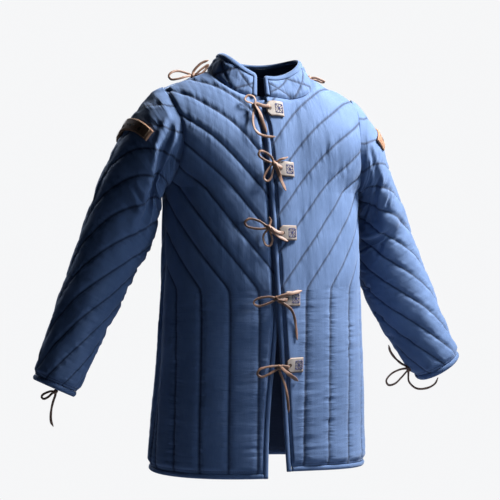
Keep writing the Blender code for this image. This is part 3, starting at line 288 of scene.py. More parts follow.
def smooth(rows, key):
    """A table's row at any key, on smooth curves through its rows."""
    rows, key = np.asarray(rows, float), np.asarray(key, float)
    spot = np.clip(np.searchsorted(rows[:, 0], key, "left") - 1, 0, len(rows) - 2)
    low, high = rows[spot], rows[spot + 1]
    before, after = rows[np.maximum(spot - 1, 0)], rows[np.minimum(spot + 2, len(rows) - 1)]
    span = high[..., :1] - low[..., :1]
    t = (key[..., None] - low[..., :1]) / span
    leave = (high - before) / (high[..., :1] - before[..., :1]) * span
    reach = (after - low) / (after[..., :1] - low[..., :1]) * span
    return ((2 * t ** 3 - 3 * t ** 2 + 1) * low + (t ** 3 - 2 * t ** 2 + t) * leave
            + (3 * t ** 2 - 2 * t ** 3) * high + (t ** 3 - t ** 2) * reach)


GRID_STEP, GRID_ACROSS = 0.0065, 128
HEIGHTS = np.arange(-146, 2) * GRID_STEP


class Face:
    """The front or back of the body: where each place of its pattern goes."""

    def __init__(self, rows, sign):
        rows = np.array(rows)
        self.sign = sign
        keys = np.minimum(HEIGHTS, 0.0)
        low = smooth(rows[rows[:, 0] <= ARMPIT + 1e-6], keys)
        high = smooth(rows[rows[:, 0] >= ARMPIT - 1e-6], keys)
        row = np.where((keys <= ARMPIT + 1e-6)[:, None], low, high)
        zero = np.zeros(len(row))
        start = np.stack((zero, row[:, 1], row[:, 2]), 1)
        end = row[:, 3:6]
        first = start + np.stack((row[:, 6], zero, row[:, 7]), 1)
        last = end - row[:, 8:11]
        t = np.linspace(0, 1, 2 * GRID_ACROSS + 1)[None, :, None]
        s = 1 - t
        line = start[:, None] * s ** 3 + first[:, None] * 3 * s * s * t \
            + last[:, None] * 3 * s * t * t + end[:, None] * t ** 3
        gone = np.concatenate((np.zeros((len(row), 1)),
                               np.cumsum(np.linalg.norm(np.diff(line, axis=1), axis=2), axis=1)), 1)
        self.length = gone[:, -1].copy()
        self.grid = np.empty((len(row), GRID_ACROSS + 1, 3))
        for k in range(len(row)):
            goal = np.linspace(0, gone[k, -1], GRID_ACROSS + 1)
            for axis in range(3):
                self.grid[k, :, axis] = np.interp(goal, gone[k], line[k, :, axis])
        self.grid[-1] = 2 * self.grid[-2] - self.grid[-3]
        self.length[-1] = 2 * self.length[-2] - self.length[-3]

    def weights(self, height):
        """The row of the grid below a height, and the shares of the four rows round it."""
        k = (np.asarray(height, float) - HEIGHTS[0]) / GRID_STEP
        base = np.clip(np.floor(k).astype(int), 1, len(HEIGHTS) - 3)
        t = k - base
        return base, (-0.5 * t + t ** 2 - 0.5 * t ** 3, 1 - 2.5 * t ** 2 + 1.5 * t ** 3,
                      0.5 * t + 2 * t ** 2 - 1.5 * t ** 3, -0.5 * t ** 2 + 0.5 * t ** 3)

    def reach(self, height):
        """Distance across the pattern from the middle to the side."""
        base, weights = self.weights(height)
        return sum(w * self.length[base - 1 + k] for k, w in enumerate(weights))

    def place(self, across, height):
        across, height = np.broadcast_arrays(np.asarray(across, float), np.asarray(height, float))
        base, weights = self.weights(height)
        share = np.abs(across) / self.reach(height) * GRID_ACROSS
        j = np.clip(np.floor(share).astype(int), 0, GRID_ACROSS - 1)
        s = (share - j)[..., None]
        point = 0.0
        for k, w in enumerate(weights):
            near, far = self.grid[base - 1 + k, j], self.grid[base - 1 + k, j + 1]
            point = point + w[..., None] * (near * (1 - s) + far * s)
        point[..., 0] = np.copysign(point[..., 0], across)
        return point

    def outward(self, across, height):
        d = 0.004
        along = self.place(across + d, height) - self.place(across - d, height)
        up = self.place(across, np.minimum(height + d, 0.0)) - self.place(across, height - d)
        return self.sign * unit(np.cross(along, up))


FRONT, BACK = Face(FRONT_ROWS, 1.0), Face(BACK_ROWS, -1.0)


def dropped(p):
    """Points of the level coat, with the slope of the shoulders and the sway of the skirt."""
    share = step((p[..., 2] - DROP_NONE) / (DROP_FULL - DROP_NONE))
    swing = np.where(np.abs(p[..., 0]) < 0.26, SWAY * step((DROP_NONE - p[..., 2]) / 0.40), 0.0)
    q = p.copy()
    q[..., 2] = p[..., 2] - SHOULDER_DROP * p[..., 0] * share
    q[..., 0] = p[..., 0] - swing
    return q


def edge_at(height, side):
    """Where the edge of a front lies across the pattern."""
    return smooth(EDGES, np.minimum(height, FRONT_NECK))[..., 1 if side == "left" else 2]


def cloth(face, across, height, out, laps=False):
    """Points that lie a distance out of a panel; laps lifts the left front over the right."""
    across, height = np.broadcast_arrays(np.asarray(across, float), np.asarray(height, float))
    out = np.broadcast_to(np.asarray(out, float), across.shape)
    if laps:
        out = out + LAP_LIFT * (1 - step((across - edge_at(height, "right") - 0.010) / LAP_RAMP))
    return dropped(face.place(across, height) + face.outward(across, height) * out[..., None])


def noise(x, y, seed):
    """Smooth noise between -1 and 1."""
    i, j = np.floor(x), np.floor(y)
    u, v = x - i, y - j
    u, v = u * u * u * (u * (u * 6 - 15) + 10), v * v * v * (v * (v * 6 - 15) + 10)

    def at(a, b):
        h = np.sin(a * 127.1 + b * 311.7 + seed * 74.7) * 43758.5453
        return (h - np.floor(h)) * 2 - 1
    low, high = (at(i, row) * (1 - u) + at(i + 1, row) * u for row in (j, j + 1))
    return low * (1 - v) + high * v


def padding(distance, width):
    """Height of the padding at a distance from the stitching, in a channel of that half width."""
    d = np.sqrt(distance ** 2 + 0.0008 ** 2) - 0.0008
    t = np.clip(d / width, 0, 1)
    return 0.24 + 0.50 * (1 - (1 - t) ** 5) + 0.26 * (1 - (1 - t) ** 1.8)


# ------------------------------------------------------------------ meshes
def make_piece(name, points, faces, materials, maps=None):
    mesh = bpy.data.meshes.new(name)
    mesh.from_pydata(np.asarray(points).reshape(-1, 3).tolist(), [], faces)
    mesh.update()
    if maps:
        loops = np.empty(len(mesh.loops), dtype=np.int64)
        mesh.loops.foreach_get("vertex_index", loops)
        for key, values in maps.items():
            layer = mesh.uv_layers.new(name=key)
            layer.data.foreach_set("uv", np.asarray(values, dtype=np.float32)[loops].ravel())
    for material in materials if isinstance(materials, (list, tuple)) else [materials]:
        mesh.materials.append(material)
    mesh.shade_smooth()
    thing = bpy.data.objects.new(name, mesh)
    bpy.context.scene.collection.objects.link(thing)
    return thing


def settle(piece, slot, *nodes):
    """Fixes a piece to the coat's body, names its material and the solids that it stands for."""
    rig.ride(piece, "root")
    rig.slot(piece, slot)
    if nodes:
        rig.replaces(piece, *nodes)
    return piece


def shell(name, outer, inner, cloth_map, line, edge, closed, material):
    """A wall from a fine outer grid and an inner one of every third row and column.

    The lining carries no stitches, so its lines and edges lie nowhere near it."""
    rows, columns = outer.shape[:2]
    inner = inner[::COARSE, ::COARSE]
    faces = grid_faces(rows, columns, closed, 0)
    base = rows * columns
    irows, icolumns = inner.shape[:2]
    lining_from = len(faces)
    faces += [tuple(reversed(f)) for f in grid_faces(irows, icolumns, closed, base)]
    lining_to = len(faces)

    def rim(fine, rough):
        for k in range(len(rough) - 1):
            across = tuple(fine[COARSE * k + s] for s in range(COARSE + 1))
            faces.append(across + (rough[k + 1], rough[k]))

    around = list(range(columns)) + ([0] if closed else [])
    iaround = list(range(icolumns)) + ([0] if closed else [])
    for row, irow in ((0, 0), (rows - 1, irows - 1)):
        rim([row * columns + c for c in around], [base + irow * icolumns + c for c in iaround])
    if not closed:
        for c, ic in ((0, 0), (columns - 1, icolumns - 1)):
            rim([r * columns + c for r in range(rows)],
                [base + r * icolumns + ic for r in range(irows)])
    points = np.concatenate((outer.reshape(-1, 3), inner.reshape(-1, 3)))
    maps = {key: np.concatenate((over.reshape(-1, 2), under[::COARSE, ::COARSE].reshape(-1, 2)))
            for key, over, under in (
                ("Cloth", cloth_map, cloth_map), ("Line", line, line * 0 + 0.5),
                ("Edge", edge, edge * 0 + 0.5))}
    piece = make_piece(name, points, faces, (material, PAINTED_SHADE_LINING), maps)
    looks = np.zeros(len(faces), dtype=np.int32)
    looks[lining_from:lining_to] = 1
    piece.data.polygons.foreach_set("material_index", looks)
    turn_out(piece)
    return piece


def grid_faces(rows, columns, closed, base):
    """Four-sided faces over a grid of points; a closed one joins its last column to its first."""
    across = np.arange(columns if closed else columns - 1)
    r, c = np.meshgrid(np.arange(rows - 1), across, indexing="ij")
    n = (c + 1) % columns
    low, high = r * columns, (r + 1) * columns
    quads = np.stack((low + c, low + n, high + n, high + c), -1)
    return [tuple(q) for q in (quads.reshape(-1, 4) + base).tolist()]


def tube_faces(count, sides, closed=False):
    """Faces round a row of rings, with both ends capped unless the row closes on itself."""
    faces = []
    for k in range(count if closed else count - 1):
        after = (k + 1) % count
        for v in range(sides):
            w = (v + 1) % sides
            faces.append((k * sides + v, k * sides + w, after * sides + w, after * sides + v))
    if not closed:
        faces += [tuple(range(sides)), tuple((count - 1) * sides + v for v in range(sides))]
    return faces


def shifted(faces, start):
    return [tuple(start + v for v in face) for face in faces]


def turn_out(piece):
    """Turns the faces of a closed piece to look outwards."""
    form = bmesh.new()
    form.from_mesh(piece.data)
    bmesh.ops.recalc_face_normals(form, faces=form.faces)
    form.to_mesh(piece.data)
    form.free()


# ------------------------------------------------------------------ materials
class Value:
    """A value in a shader; arithmetic with it makes the maths nodes."""

    def __init__(self, socket):
        self.socket = socket

    def maths(self, operation, *others, last=False):
        """The node for an operation, with this value first, or last."""
        made = self.socket.id_data.nodes.new("ShaderNodeMath")
        made.operation = operation
        for spot, term in zip(made.inputs, (*others, self) if last else (self, *others)):
            link(term, spot)
        return Value(made.outputs[0])

    def __add__(self, other):
        return self.maths("ADD", other)

    def __sub__(self, other):
        return self.maths("SUBTRACT", other)

    def __rsub__(self, other):
        return self.maths("SUBTRACT", other, last=True)

    def __mul__(self, other):
        return self.maths("MULTIPLY", other)

    def __lt__(self, other):
        return self.maths("LESS_THAN", other)

    def __abs__(self):
        return self.maths("ABSOLUTE")

    def __round__(self):
        return self.maths("ROUND")


def link(term, spot):
    """Gives a shader value, a number or a colour to a node's input."""
    if isinstance(term, Value):
        spot.id_data.links.new(term.socket, spot)
    else:
        spot.default_value = (*term, 1) if isinstance(term, tuple) else term


def node(tree, kind, **values):
    """A new node, with its settings and the values of its inputs by their names."""
    made = tree.nodes.new(kind)
    for key, value in values.items():
        if hasattr(made, key):
            setattr(made, key, value)
        else:
            made.inputs[key.replace("_", " ")].default_value = value
    return made


def texture(kind, vector, output="Fac", **values):
    made = node(vector.socket.id_data, "ShaderNodeTex" + kind, **values)
    link(vector, made.inputs["Vector"])
    return Value(made.outputs[output])


def stretched(vector, x, y):
    made = node(vector.socket.id_data, "ShaderNodeMapping", Scale=(x, y, 1.0))
    link(vector, made.inputs["Vector"])
    return Value(made.outputs[0])


def parts_of(vector):
    """The first two numbers of a vector."""
    made = vector.socket.id_data.nodes.new("ShaderNodeSeparateXYZ")
    link(vector, made.inputs[0])
    return Value(made.outputs[0]), Value(made.outputs[1])


def spread_over(value, **ends):
    made = node(value.socket.id_data, "ShaderNodeMapRange", **ends)
    link(value, made.inputs["Value"])
    return Value(made.outputs[0])


def ramp(value, low, high, first, last):
    """A colour that goes from the first to the last as a value goes from low to high."""
    made = node(value.socket.id_data, "ShaderNodeValToRGB")
    for element, position, colour in zip(made.color_ramp.elements, (low, high), (first, last)):
        element.position, element.color = position, (*colour, 1)
    link(value, made.inputs[0])
    return Value(made.outputs[0])


def blend(factor, first, second):
    made = node(factor.socket.id_data, "ShaderNodeMix", data_type="RGBA", blend_type="MIX")
    for spot, term in ((0, factor), (6, first), (7, second)):
        link(term, made.inputs[spot])
    return Value(made.outputs[2])


def new_material(name, **values):
    """A material, its main shader and the place on the object, for textures to start from."""
    material = bpy.data.materials.new(name)
    material.use_nodes = True
    shader = material.node_tree.nodes["Principled BSDF"]
    for key, value in values.items():
        shader.inputs[key.replace("_", " ")].default_value = value
    spots = Value(node(material.node_tree, "ShaderNodeTexCoord").outputs["Object"])
    return material, shader, spots


def cover(shader, colour, relief, strength):
    """Gives a shader its colour and its relief, which is in metres."""
    link(colour, shader.inputs["Base Color"])
    bump = node(shader.id_data, "ShaderNodeBump", Strength=strength, Distance=1.0)
    link(relief, bump.inputs["Height"])
    link(Value(bump.outputs[0]), shader.inputs["Normal"])


WAVE = 0.314            # how far apart the bands of a wave texture lie at scale 1
TWILL, WEFT = 0.0011, 0.0017
STITCH, STITCH_SHARE, STITCH_HALF = 0.0046, 0.36, 0.00065
EDGE_STITCHES, CHANNEL_TEXTURE, LOZENGE_TEXTURE = 0.0055, 0.050, 0.036
BLACK, WHITE = (0, 0, 0), (1, 1, 1)


def make_cloth(name, dark, light, stitch, lines=True, crossed=False):
    """Dense cotton twill: fine diagonal weave, uneven dye, painted shade in the valleys beside the quilting, and
    thread along the quilting.
    """
    material, shader, spots = new_material(
        name, Roughness=0.82, Sheen_Weight=0.22, Sheen_Roughness=0.45,
        Sheen_Tint=(0.70, 0.80, 1.0, 1.0), Specular_IOR_Level=0.25)
    cloth_map, line_map, edge_map = (
        Value(node(shader.id_data, "ShaderNodeUVMap", uv_map=key).outputs[0])
        for key in ("Cloth", "Line", "Edge"))

    # uneven dye: broad patches, and slubs along the warp
    broad = texture("Noise", spots, Scale=9.0, Detail=4.0, Roughness=0.6)
    slub = texture("Noise", stretched(cloth_map, 700.0, 45.0), Scale=1.0, Detail=3.0,
                   Roughness=0.65)
    dye = broad * 0.72 + slub * 0.28
    colour = ramp(dye, 0.30, 0.70, dark, light)

    # twill
    twill = texture("Wave", cloth_map, wave_type="BANDS", bands_direction="DIAGONAL",
                    Scale=WAVE / TWILL, Distortion=0.6, Detail=1.0)
    weft = texture("Wave", cloth_map, wave_type="BANDS", bands_direction="Y",
                   Scale=WAVE / WEFT, Distortion=0.8, Detail=1.0)
    weave = twill * 0.7 + weft * 0.3
    colour = blend(weave * 0.16, colour, light)
    relief = weave * 0.00010 + slub * 0.00018

    # small puckers drawn up beside the stitching: upright over the chest, level lower down
    upright, level = (
        texture("Noise", stretched(cloth_map, x, y), Scale=1.0, Detail=2.0, Roughness=0.5,
                Distortion=0.4)
        for x, y in ((98.0, 23.0), (26.0, 118.0)))
    low_down = parts_of(cloth_map)[1] < WAIST
    pucker = level * low_down + upright * (1.0 - low_down)
    if not lines:
        relief = relief + pucker * 0.0008
    else:
        (phase, along_line), (to_edge, along_edge) = parts_of(line_map), parts_of(edge_map)
        from_line = abs(phase - round(phase)) * CHANNEL_TEXTURE
        if crossed:
            other_line = abs(along_line - round(along_line)) * LOZENGE_TEXTURE
            from_line = from_line * (LOZENGE_TEXTURE / CHANNEL_TEXTURE)
            from_line = from_line.maths("MINIMUM", other_line)
        from_edge = abs(to_edge - EDGE_STITCHES)
        by_edge = from_edge < from_line
        along = along_edge * by_edge + along_line * (1.0 - by_edge)
        if crossed:
            along = along_edge * 1.4
        # painted shade darkens the cloth in the valleys beside the stitching, and the puckers are strongest there
        painted_valley_shade = ramp(from_line, 0.0006, 0.0036, WHITE, BLACK)
        colour = blend(painted_valley_shade * 0.92, colour, tuple(c * 0.22 for c in dark))
        drawn = spread_over(from_line, From_Max=0.016, To_Min=0.0036, To_Max=0.0008)
        relief = relief + pucker * drawn
        # the stitches themselves
        across_stitch = abs((along * (1 / STITCH)).maths("FRACT") - 0.5)
        on = (across_stitch < STITCH_SHARE) * (from_line.maths("MINIMUM", from_edge) < STITCH_HALF)
        colour = blend(on, colour, stitch)
        relief = relief + on * 0.0004
    cover(shader, colour, relief, 0.9)
    link(spread_over(dye, To_Min=0.70, To_Max=0.92), shader.inputs["Roughness"])
    return material


def make_leather(name, dark, light, edge, roughness):
    """Vegetable-tanned leather: pores, blotches and burnished edges of another colour."""
    material, shader, spots = new_material(name, Roughness=roughness, Specular_IOR_Level=0.4)
    blotch = texture("Noise", spots, Scale=70.0, Detail=5.0, Roughness=0.62)
    pores = texture("Voronoi", spots, "Distance", Scale=1500.0)
    bend = Value(node(shader.id_data, "ShaderNodeNewGeometry").outputs["Pointiness"])
    worn = ramp(bend, 0.50, 0.58, BLACK, WHITE)
    colour = blend(worn * 0.5, ramp(blotch, 0.32, 0.68, dark, light), edge)
    cover(shader, colour, pores * 0.00012 + blotch * 0.0006, 0.7)
    return material


def make_thread(name, colour):
    material, shader, spots = new_material(name, Roughness=0.65)
    fuzz = texture("Noise", spots, Scale=900.0, Detail=3.0)
    shade = ramp(fuzz, 0.35, 0.65, tuple(c * 0.7 for c in colour), colour)
    link(shade, shader.inputs["Base Color"])
    return material


# dark, light and the thread; for leather dark, light, the worn edges and the roughness
DENIM = ((0.060, 0.104, 0.205), (0.110, 0.172, 0.310), (0.020, 0.034, 0.085))
BLUE = make_cloth("blue_cloth", *DENIM)
BLUE_CROSSED = make_cloth("collar_cloth", *DENIM, crossed=True)
BLUE_TRIM = make_cloth("binding_cloth", (0.052, 0.092, 0.185), (0.096, 0.152, 0.278),
                       (0.018, 0.030, 0.075))
# the lining is real cloth; its near-black colour is painted shade of the coat's dark inside
PAINTED_SHADE_LINING = make_cloth("lining_cloth", (0.012, 0.019, 0.042), (0.022, 0.034, 0.070),
                    (0.02, 0.03, 0.06), lines=False)
NATURAL = make_leather("natural_leather", (0.215, 0.178, 0.155), (0.325, 0.282, 0.250),
                       (0.24, 0.13, 0.07), 0.62)
BROWN = make_leather("brown_leather", (0.17, 0.078, 0.043), (0.29, 0.145, 0.082),
                     (0.40, 0.23, 0.14), 0.78)
# the holes' floors: leather painted near black as the shade inside a punched hole
HOLE_SHADE_LEATHER = make_leather("hole_leather", (0.03, 0.016, 0.010), (0.06, 0.030, 0.018),
                            (0.12, 0.06, 0.03), 0.70)
LACE_LEATHER = make_leather("lace_leather", (0.090, 0.042, 0.026), (0.18, 0.092, 0.058),
                            (0.42, 0.25, 0.165), 0.50)
BLUE_THREAD = make_thread("blue_thread", (0.045, 0.052, 0.20))
TAN_THREAD = make_thread("tan_thread", (0.46, 0.33, 0.22))


# ------------------------------------------------------------------ panels of the body
def rows_between(marks, size):
    """Heights from the first mark to the last that pass through every mark, in threes."""
    heights = [marks[0]]
    for low, high in zip(marks, marks[1:]):
        count = max(3, 3 * round((high - low) / size / 3))
        heights += [low + (high - low) * (k + 1) / count for k in range(count)]
    return np.array(heights)


def soft_rise(height):
    """How far a height lies above the waist, rounded where the quilting turns."""
    x = height - WAIST
    return (x + np.sqrt(x * x + 0.009 ** 2)) / 2


def quilt(spread, height):
    """Phase across the channels, and the distance to the nearest line and half a channel."""
    phase = spread / CHANNEL - soft_rise(height) / PITCH
    slope = soft_rise(height + 0.001) - soft_rise(height)
    rate = np.sqrt(CHANNEL ** -2 + (slope / 0.001 / PITCH) ** 2)
    away = np.abs(phase - np.round(phase)) / rate
    return phase, away, 0.5 / rate


def ruffles(across, height, phase, away, half, seed):
    """Uneven relief of the padded cloth: broad dents, and puckers drawn up by the stitching."""
    chevron = step((height - WAIST + 0.02) / 0.05)
    slanted = noise(across / 0.0098, height / 0.036 + phase * 3, seed) * 0.6 \
        + noise(across / 0.0150, height / 0.050, seed + 3) * 0.5
    upright = noise(across / 0.034, height / 0.0078, seed + 1) * 0.62 \
        + noise(across / 0.045, height / 0.018, seed + 5) * 0.5
    near = np.exp(-(away / (half * 0.50)) ** 2)
    pucker = (chevron * slanted + (1 - chevron) * upright) * (0.00080 + 0.00140 * near)
    pucker *= 0.70 + 0.5 * noise(across / 0.09, height / 0.11, seed + 7)
    dents = 0.0021 * noise(across / 0.085, height / 0.12, seed + 2) \
        + 0.0009 * noise(across / 0.037, height / 0.055, seed + 4)
    return pucker + dents


def filled(fill, cushion, relief, share):
    """How far the padded cloth stands out: the wall, the padding and the uneven relief."""
    return WALL + PUFF * fill * cushion * PUFF_SHARE + relief * share * RELIEF_SHARE


def front_bounds(side, height):
    """Where a row of a front begins and ends, in its own pattern."""
    edge = edge_at(height, side) * (1 if side == "left" else -1) + TRIM + GAP
    neck = SIDE_NECK * np.sin(np.arccos(np.clip(height / FRONT_NECK, -1, 1)))
    if side == "left":
        under_collar = np.where(height <= FRONT_NECK + 1e-7, COLLAR_LEFT_START - 0.002, neck)
        low = np.where(height <= FLAP_TOP - TRIM - GAP + 1e-7, edge, under_collar)
    else:
        corner = math.asin(0.0183 / SIDE_NECK)      # where the front edge meets the neckline
        low = np.where(height <= FRONT_NECK * math.cos(corner), edge, neck)
    return low, FRONT.reach(height) + GAP


def flat_place(own, height, face):
    """Distance in the pattern from the neckline, positive on the cloth."""
    neck = FRONT_NECK if face is FRONT else BACK_NECK
    return (np.sqrt((own / SIDE_NECK) ** 2 + (height / neck) ** 2) - 1) * 0.115


def columns_from(plain, low, high, columns):
    """Columns that keep upright over the panel and crowd together only along the neckline."""
    plain, low = plain[:, None], low[:, None]
    even = plain + (high[:, None] - plain) * np.linspace(0, 1, columns)[None]
    cut, crowd = np.maximum(low - plain, 0.0), 0.008
    return np.where(even < low + crowd, low + (even - plain) * crowd / (cut + crowd), even)


def lay_out(piece, grid, width, length, closed, times=1.0):
    """States the flat cut of a sheet, from its plain inner grid."""
    if closed:
        grid = np.concatenate((grid, grid[:, :1]), 1)
    one = np.cross(grid[1:, 1:] - grid[:-1, :-1], grid[:-1, 1:] - grid[1:, :-1])
    area = float(np.linalg.norm(one, axis=-1).sum() / 2 * times)
    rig.sheet(piece, flat=(float(width), float(length)), held="hung",
             area=min(area, float(width * length)))


SEAM_BARE, SEAM_RISE = 0.0015, 0.012       # the padding starts and is full this far from a seam


def stitch_map(phase, own, height):
    """The channel's count, and the run along its stitches, which slant or stand upright."""
    return np.stack((phase, height * 1.15 + own * 0.2), -1)


def make_front(side):
    sign = 1 if side == "left" else -1
    hem = HEM + TRIM + GAP
    heights = rows_between([hem, WAIST, ARMPIT, FLAP_TOP - TRIM - GAP, FRONT_NECK, -GAP], CELL)
    low, high = front_bounds(side, heights)
    columns = 3 * round((high.max() - low.min()) / CELL / 3) + 1
    own = columns_from(edge_at(heights, side) * sign + TRIM + GAP, low, high, columns)
    height = np.repeat(heights[:, None], columns, 1)
    if side == "left":
        rise = HEM_RISE * (1 - step(own / FRONT.reach(HEM)))
        height = height + rise * np.clip((WAIST - height) / (WAIST - hem), 0, 1)
    across = sign * own
    phase, away, half = quilt(own - (PHASE_LEFT if side == "left" else PHASE_RIGHT), height)
    # distance to the sewn edges, where the padding runs out
    opening = own - edge_at(height, side) * sign - TRIM - GAP
    seam = np.minimum(np.minimum(opening * 1.9, high[:, None] - own), -GAP - height)
    seam = np.minimum(seam, height - height[:1])
    seam = np.minimum(seam, np.where(own > COLLAR_LEFT_START, flat_place(own, height, FRONT), seam))
    if side == "left":
        to_flap_top = FLAP_TOP - TRIM - GAP - height
        seam = np.minimum(seam, np.where(own < COLLAR_LEFT_START, to_flap_top, seam))
    seam = np.maximum(seam, 0.0)
    fill = step((seam - SEAM_BARE) / SEAM_RISE)
    if side == "right":         # thin where the left front lies over it
        fill = fill * step((edge_at(height, "left") - across - 0.003) / 0.010)
    relief = ruffles(across, height, phase, away, half, 11 if side == "left" else 29)
    out = filled(fill, padding(away, half), relief, step(seam / SEAM_RISE))
    if side == "right":
        out = np.where(across > edge_at(height, "left") - 0.004, np.minimum(out, WALL), out)
    out = np.maximum(out, THINNEST)
    laps = side == "left"
    outer = cloth(FRONT, across, height, out, laps)
    inner = cloth(FRONT, across, height, 0.0, laps)
    to_hem = height - height[:1]
    edge = np.stack((np.minimum(opening, to_hem), np.where(opening < to_hem, height, across)), -1)
    piece = shell("scene_front_" + side, outer, inner, np.stack((across, height), -1),
                  stitch_map(phase, own, height), edge, False, BLUE)
    lay_out(piece, inner, (high - low).max(), heights[-1] - heights[0], False)
    return settle(piece, "quilted_cloth", "front_" + side)


def make_back():
    hem, size = HEM + TRIM + GAP, CELL * 1.2
    heights = rows_between([hem, WAIST, ARMPIT, BACK_NECK, -GAP], size)
    high = BACK.reach(heights) + GAP
    low = SIDE_NECK * np.sin(np.arccos(np.clip(heights / BACK_NECK, -1, 1)))
    low[heights <= BACK_NECK + 1e-7] = 0.0
    columns = 3 * round(high.max() / size / 3) + 1
    own = columns_from(low * 0, low, high, columns)
    height = np.repeat(heights[:, None], columns, 1)
    phase, away, half = quilt(own, height)
    seam = np.minimum(np.minimum(high[:, None] - own, -GAP - height), height - height[:1])
    seam = np.maximum(np.minimum(seam, flat_place(own, height, BACK)), 0.0)
    fill = step((seam - SEAM_BARE) / SEAM_RISE)
    halves = []
    for sign in (1, -1):
        across = sign * own
        relief = ruffles(across, height, phase, away, half, 47)
        out = filled(fill, padding(away, half), relief, step(seam / SEAM_RISE))
        outer = cloth(BACK, across, height, np.maximum(out, THINNEST))
        halves.append(shell("scene_back", outer, cloth(BACK, across, height, 0.0),
                            np.stack((across, height), -1), stitch_map(phase, own, height),
                            np.stack((height - height[:1], across), -1), False, BLUE))
    # join the halves along the middle, and leave out the walls that meet there
    form = bmesh.new()
    for half_piece in halves:
        form.from_mesh(half_piece.data)
    middle = [v for v in form.verts
              if abs(v.co.x - dropped(np.array([0.0, v.co.y, v.co.z]))[0]) < 2e-5]
    inside = set(middle)
    bmesh.ops.delete(form, geom=[f for f in form.faces if all(v in inside for v in f.verts)],
                     context="FACES_ONLY")
    bmesh.ops.remove_doubles(form, verts=middle, dist=1e-5)
    piece = halves[0]
    form.to_mesh(piece.data)
    form.free()
    bpy.data.objects.remove(halves[1], do_unlink=True)
    lay_out(piece, cloth(BACK, own, height, 0.0), 2 * high.max(), heights[-1] - heights[0], False,
            times=2.0)
    return settle(piece, "quilted_cloth", "back")


# ------------------------------------------------------------------ sleeves
def armhole(column, foot):
    """The sleeve head's line on the panels, on the wearer's left, before the shoulders drop."""
    column = np.mod(column, COLUMNS)
    half = COLUMNS / 2
    total = 0.0
    ends = {}
    for face, own in ((FRONT, column <= half), (BACK, column > half)):
        spread = np.where(column <= half, column, COLUMNS - column)

        def at(where):
            where = np.asarray(where, float)
            height = -GAP + (ARMPIT + GAP) * where / half
            across = face.reach(height) - GAP
            if foot:        # drawn in a little, to end inside the panels' rim
                d = 0.002
                low = np.clip(height - d, ARMPIT, None)
                top = np.clip(height + d, None, -GAP)
                run = unit(np.stack((face.reach(top) - face.reach(low), top - low), -1))
                by = SLEEVE_SEAT * np.clip(spread_weight(where), 0, 1)
                across = across - run[..., 1] * by
                height = np.minimum(height + run[..., 0] * by, -GAP)
                height = height - SLEEVE_SEAT * np.clip(where - half + 1, 0, 1)
                across = np.minimum(across, face.reach(height) - GAP)
            return face.place(across, height) + face.outward(across, height) * (WALL + 0.0010)
        ends[face is FRONT] = (at(0.0), at(half))
        total = total + np.where(own[..., None], at(spread), 0.0)
    # the two panels meet at the shoulder and under the arm, so the line is drawn together there
    sign = np.where(column <= half, 1.0, -1.0)[..., None]
    spread = np.where(column <= half, column, COLUMNS - column)
    top = np.clip(1 - spread, 0, 1)[..., None]
    low = np.clip(spread - half + 1, 0, 1)[..., None]
    gap_top, gap_low = ((back - front) / 2 for back, front in zip(ends[False], ends[True]))
    total = total + top * (sign * gap_top + np.array((0, 0, 0.0026)))
    return total + low * (sign * gap_low + np.array((0.0008, 0, 0)))


def spread_weight(where):
    return np.where(where > COLUMNS / 2 - 1, COLUMNS / 2 - where, 1.0)


def sleeve_form(side, along, column):
    """The sleeve's lining as on the wearer's left: along runs from 0 to 1, column round the arm."""
    along, column = np.broadcast_arrays(np.asarray(along, float), np.asarray(column, float))
    rows = SLEEVES[side]
    angle = 2 * math.pi * column / COLUMNS

    def oval(row):
        outer = np.stack((row[..., 1], row[..., 5], row[..., 2]), -1)
        inner = np.stack((row[..., 3], row[..., 5], row[..., 4]), -1)
        reach = (outer - inner) / 2
        reach = reach - unit(reach) * SLEEVE_ALLOWANCE
        depth = np.stack((row[..., 6] * 0, -row[..., 6], row[..., 6] * 0), -1)
        spoke = reach * np.cos(angle)[..., None] + depth * np.sin(angle)[..., None]
        return (outer + inner) / 2 + spoke, spoke

    point, spoke = oval(smooth(rows, along))
    plain = oval(smooth(rows, np.zeros_like(along)))[0]
    fade = np.clip(1.0 - along / HEAD_FADE, 0, 1)[..., None] ** 2
    point = point + (armhole(column, False) - plain) * fade
    spoke = unit(spoke)
    for name, at, length, middle, width, height, slant in SLEEVE_FOLDS:
        if name == side:
            reach_along = (along - at) / length
            turned = np.degrees(angle) - middle - slant * reach_along
            turned = np.mod(turned + 180.0, 360.0) - 180.0
            amount = np.exp(-reach_along ** 2 - (turned / width) ** 2)
            point = point + spoke * (height * amount)[..., None]
    return point


def sleeve_at(side, along, column, out):
    """Points that lie a distance out of a sleeve's lining."""
    along, column, out = np.broadcast_arrays(*(np.asarray(v, float) for v in (along, column, out)))
    base = sleeve_form(side, along, column)
    around = sleeve_form(side, along, column + 0.4) - sleeve_form(side, along, column - 0.4)
    down = sleeve_form(side, np.minimum(along + 0.01, 1.0), column) \
        - sleeve_form(side, np.maximum(along - 0.01, 0.0), column)
    return to_side(side, base + unit(np.cross(around, down)) * out[..., None])


def to_side(side, p):
    return dropped(p if side == "left" else p * np.array((-1, 1, 1)))


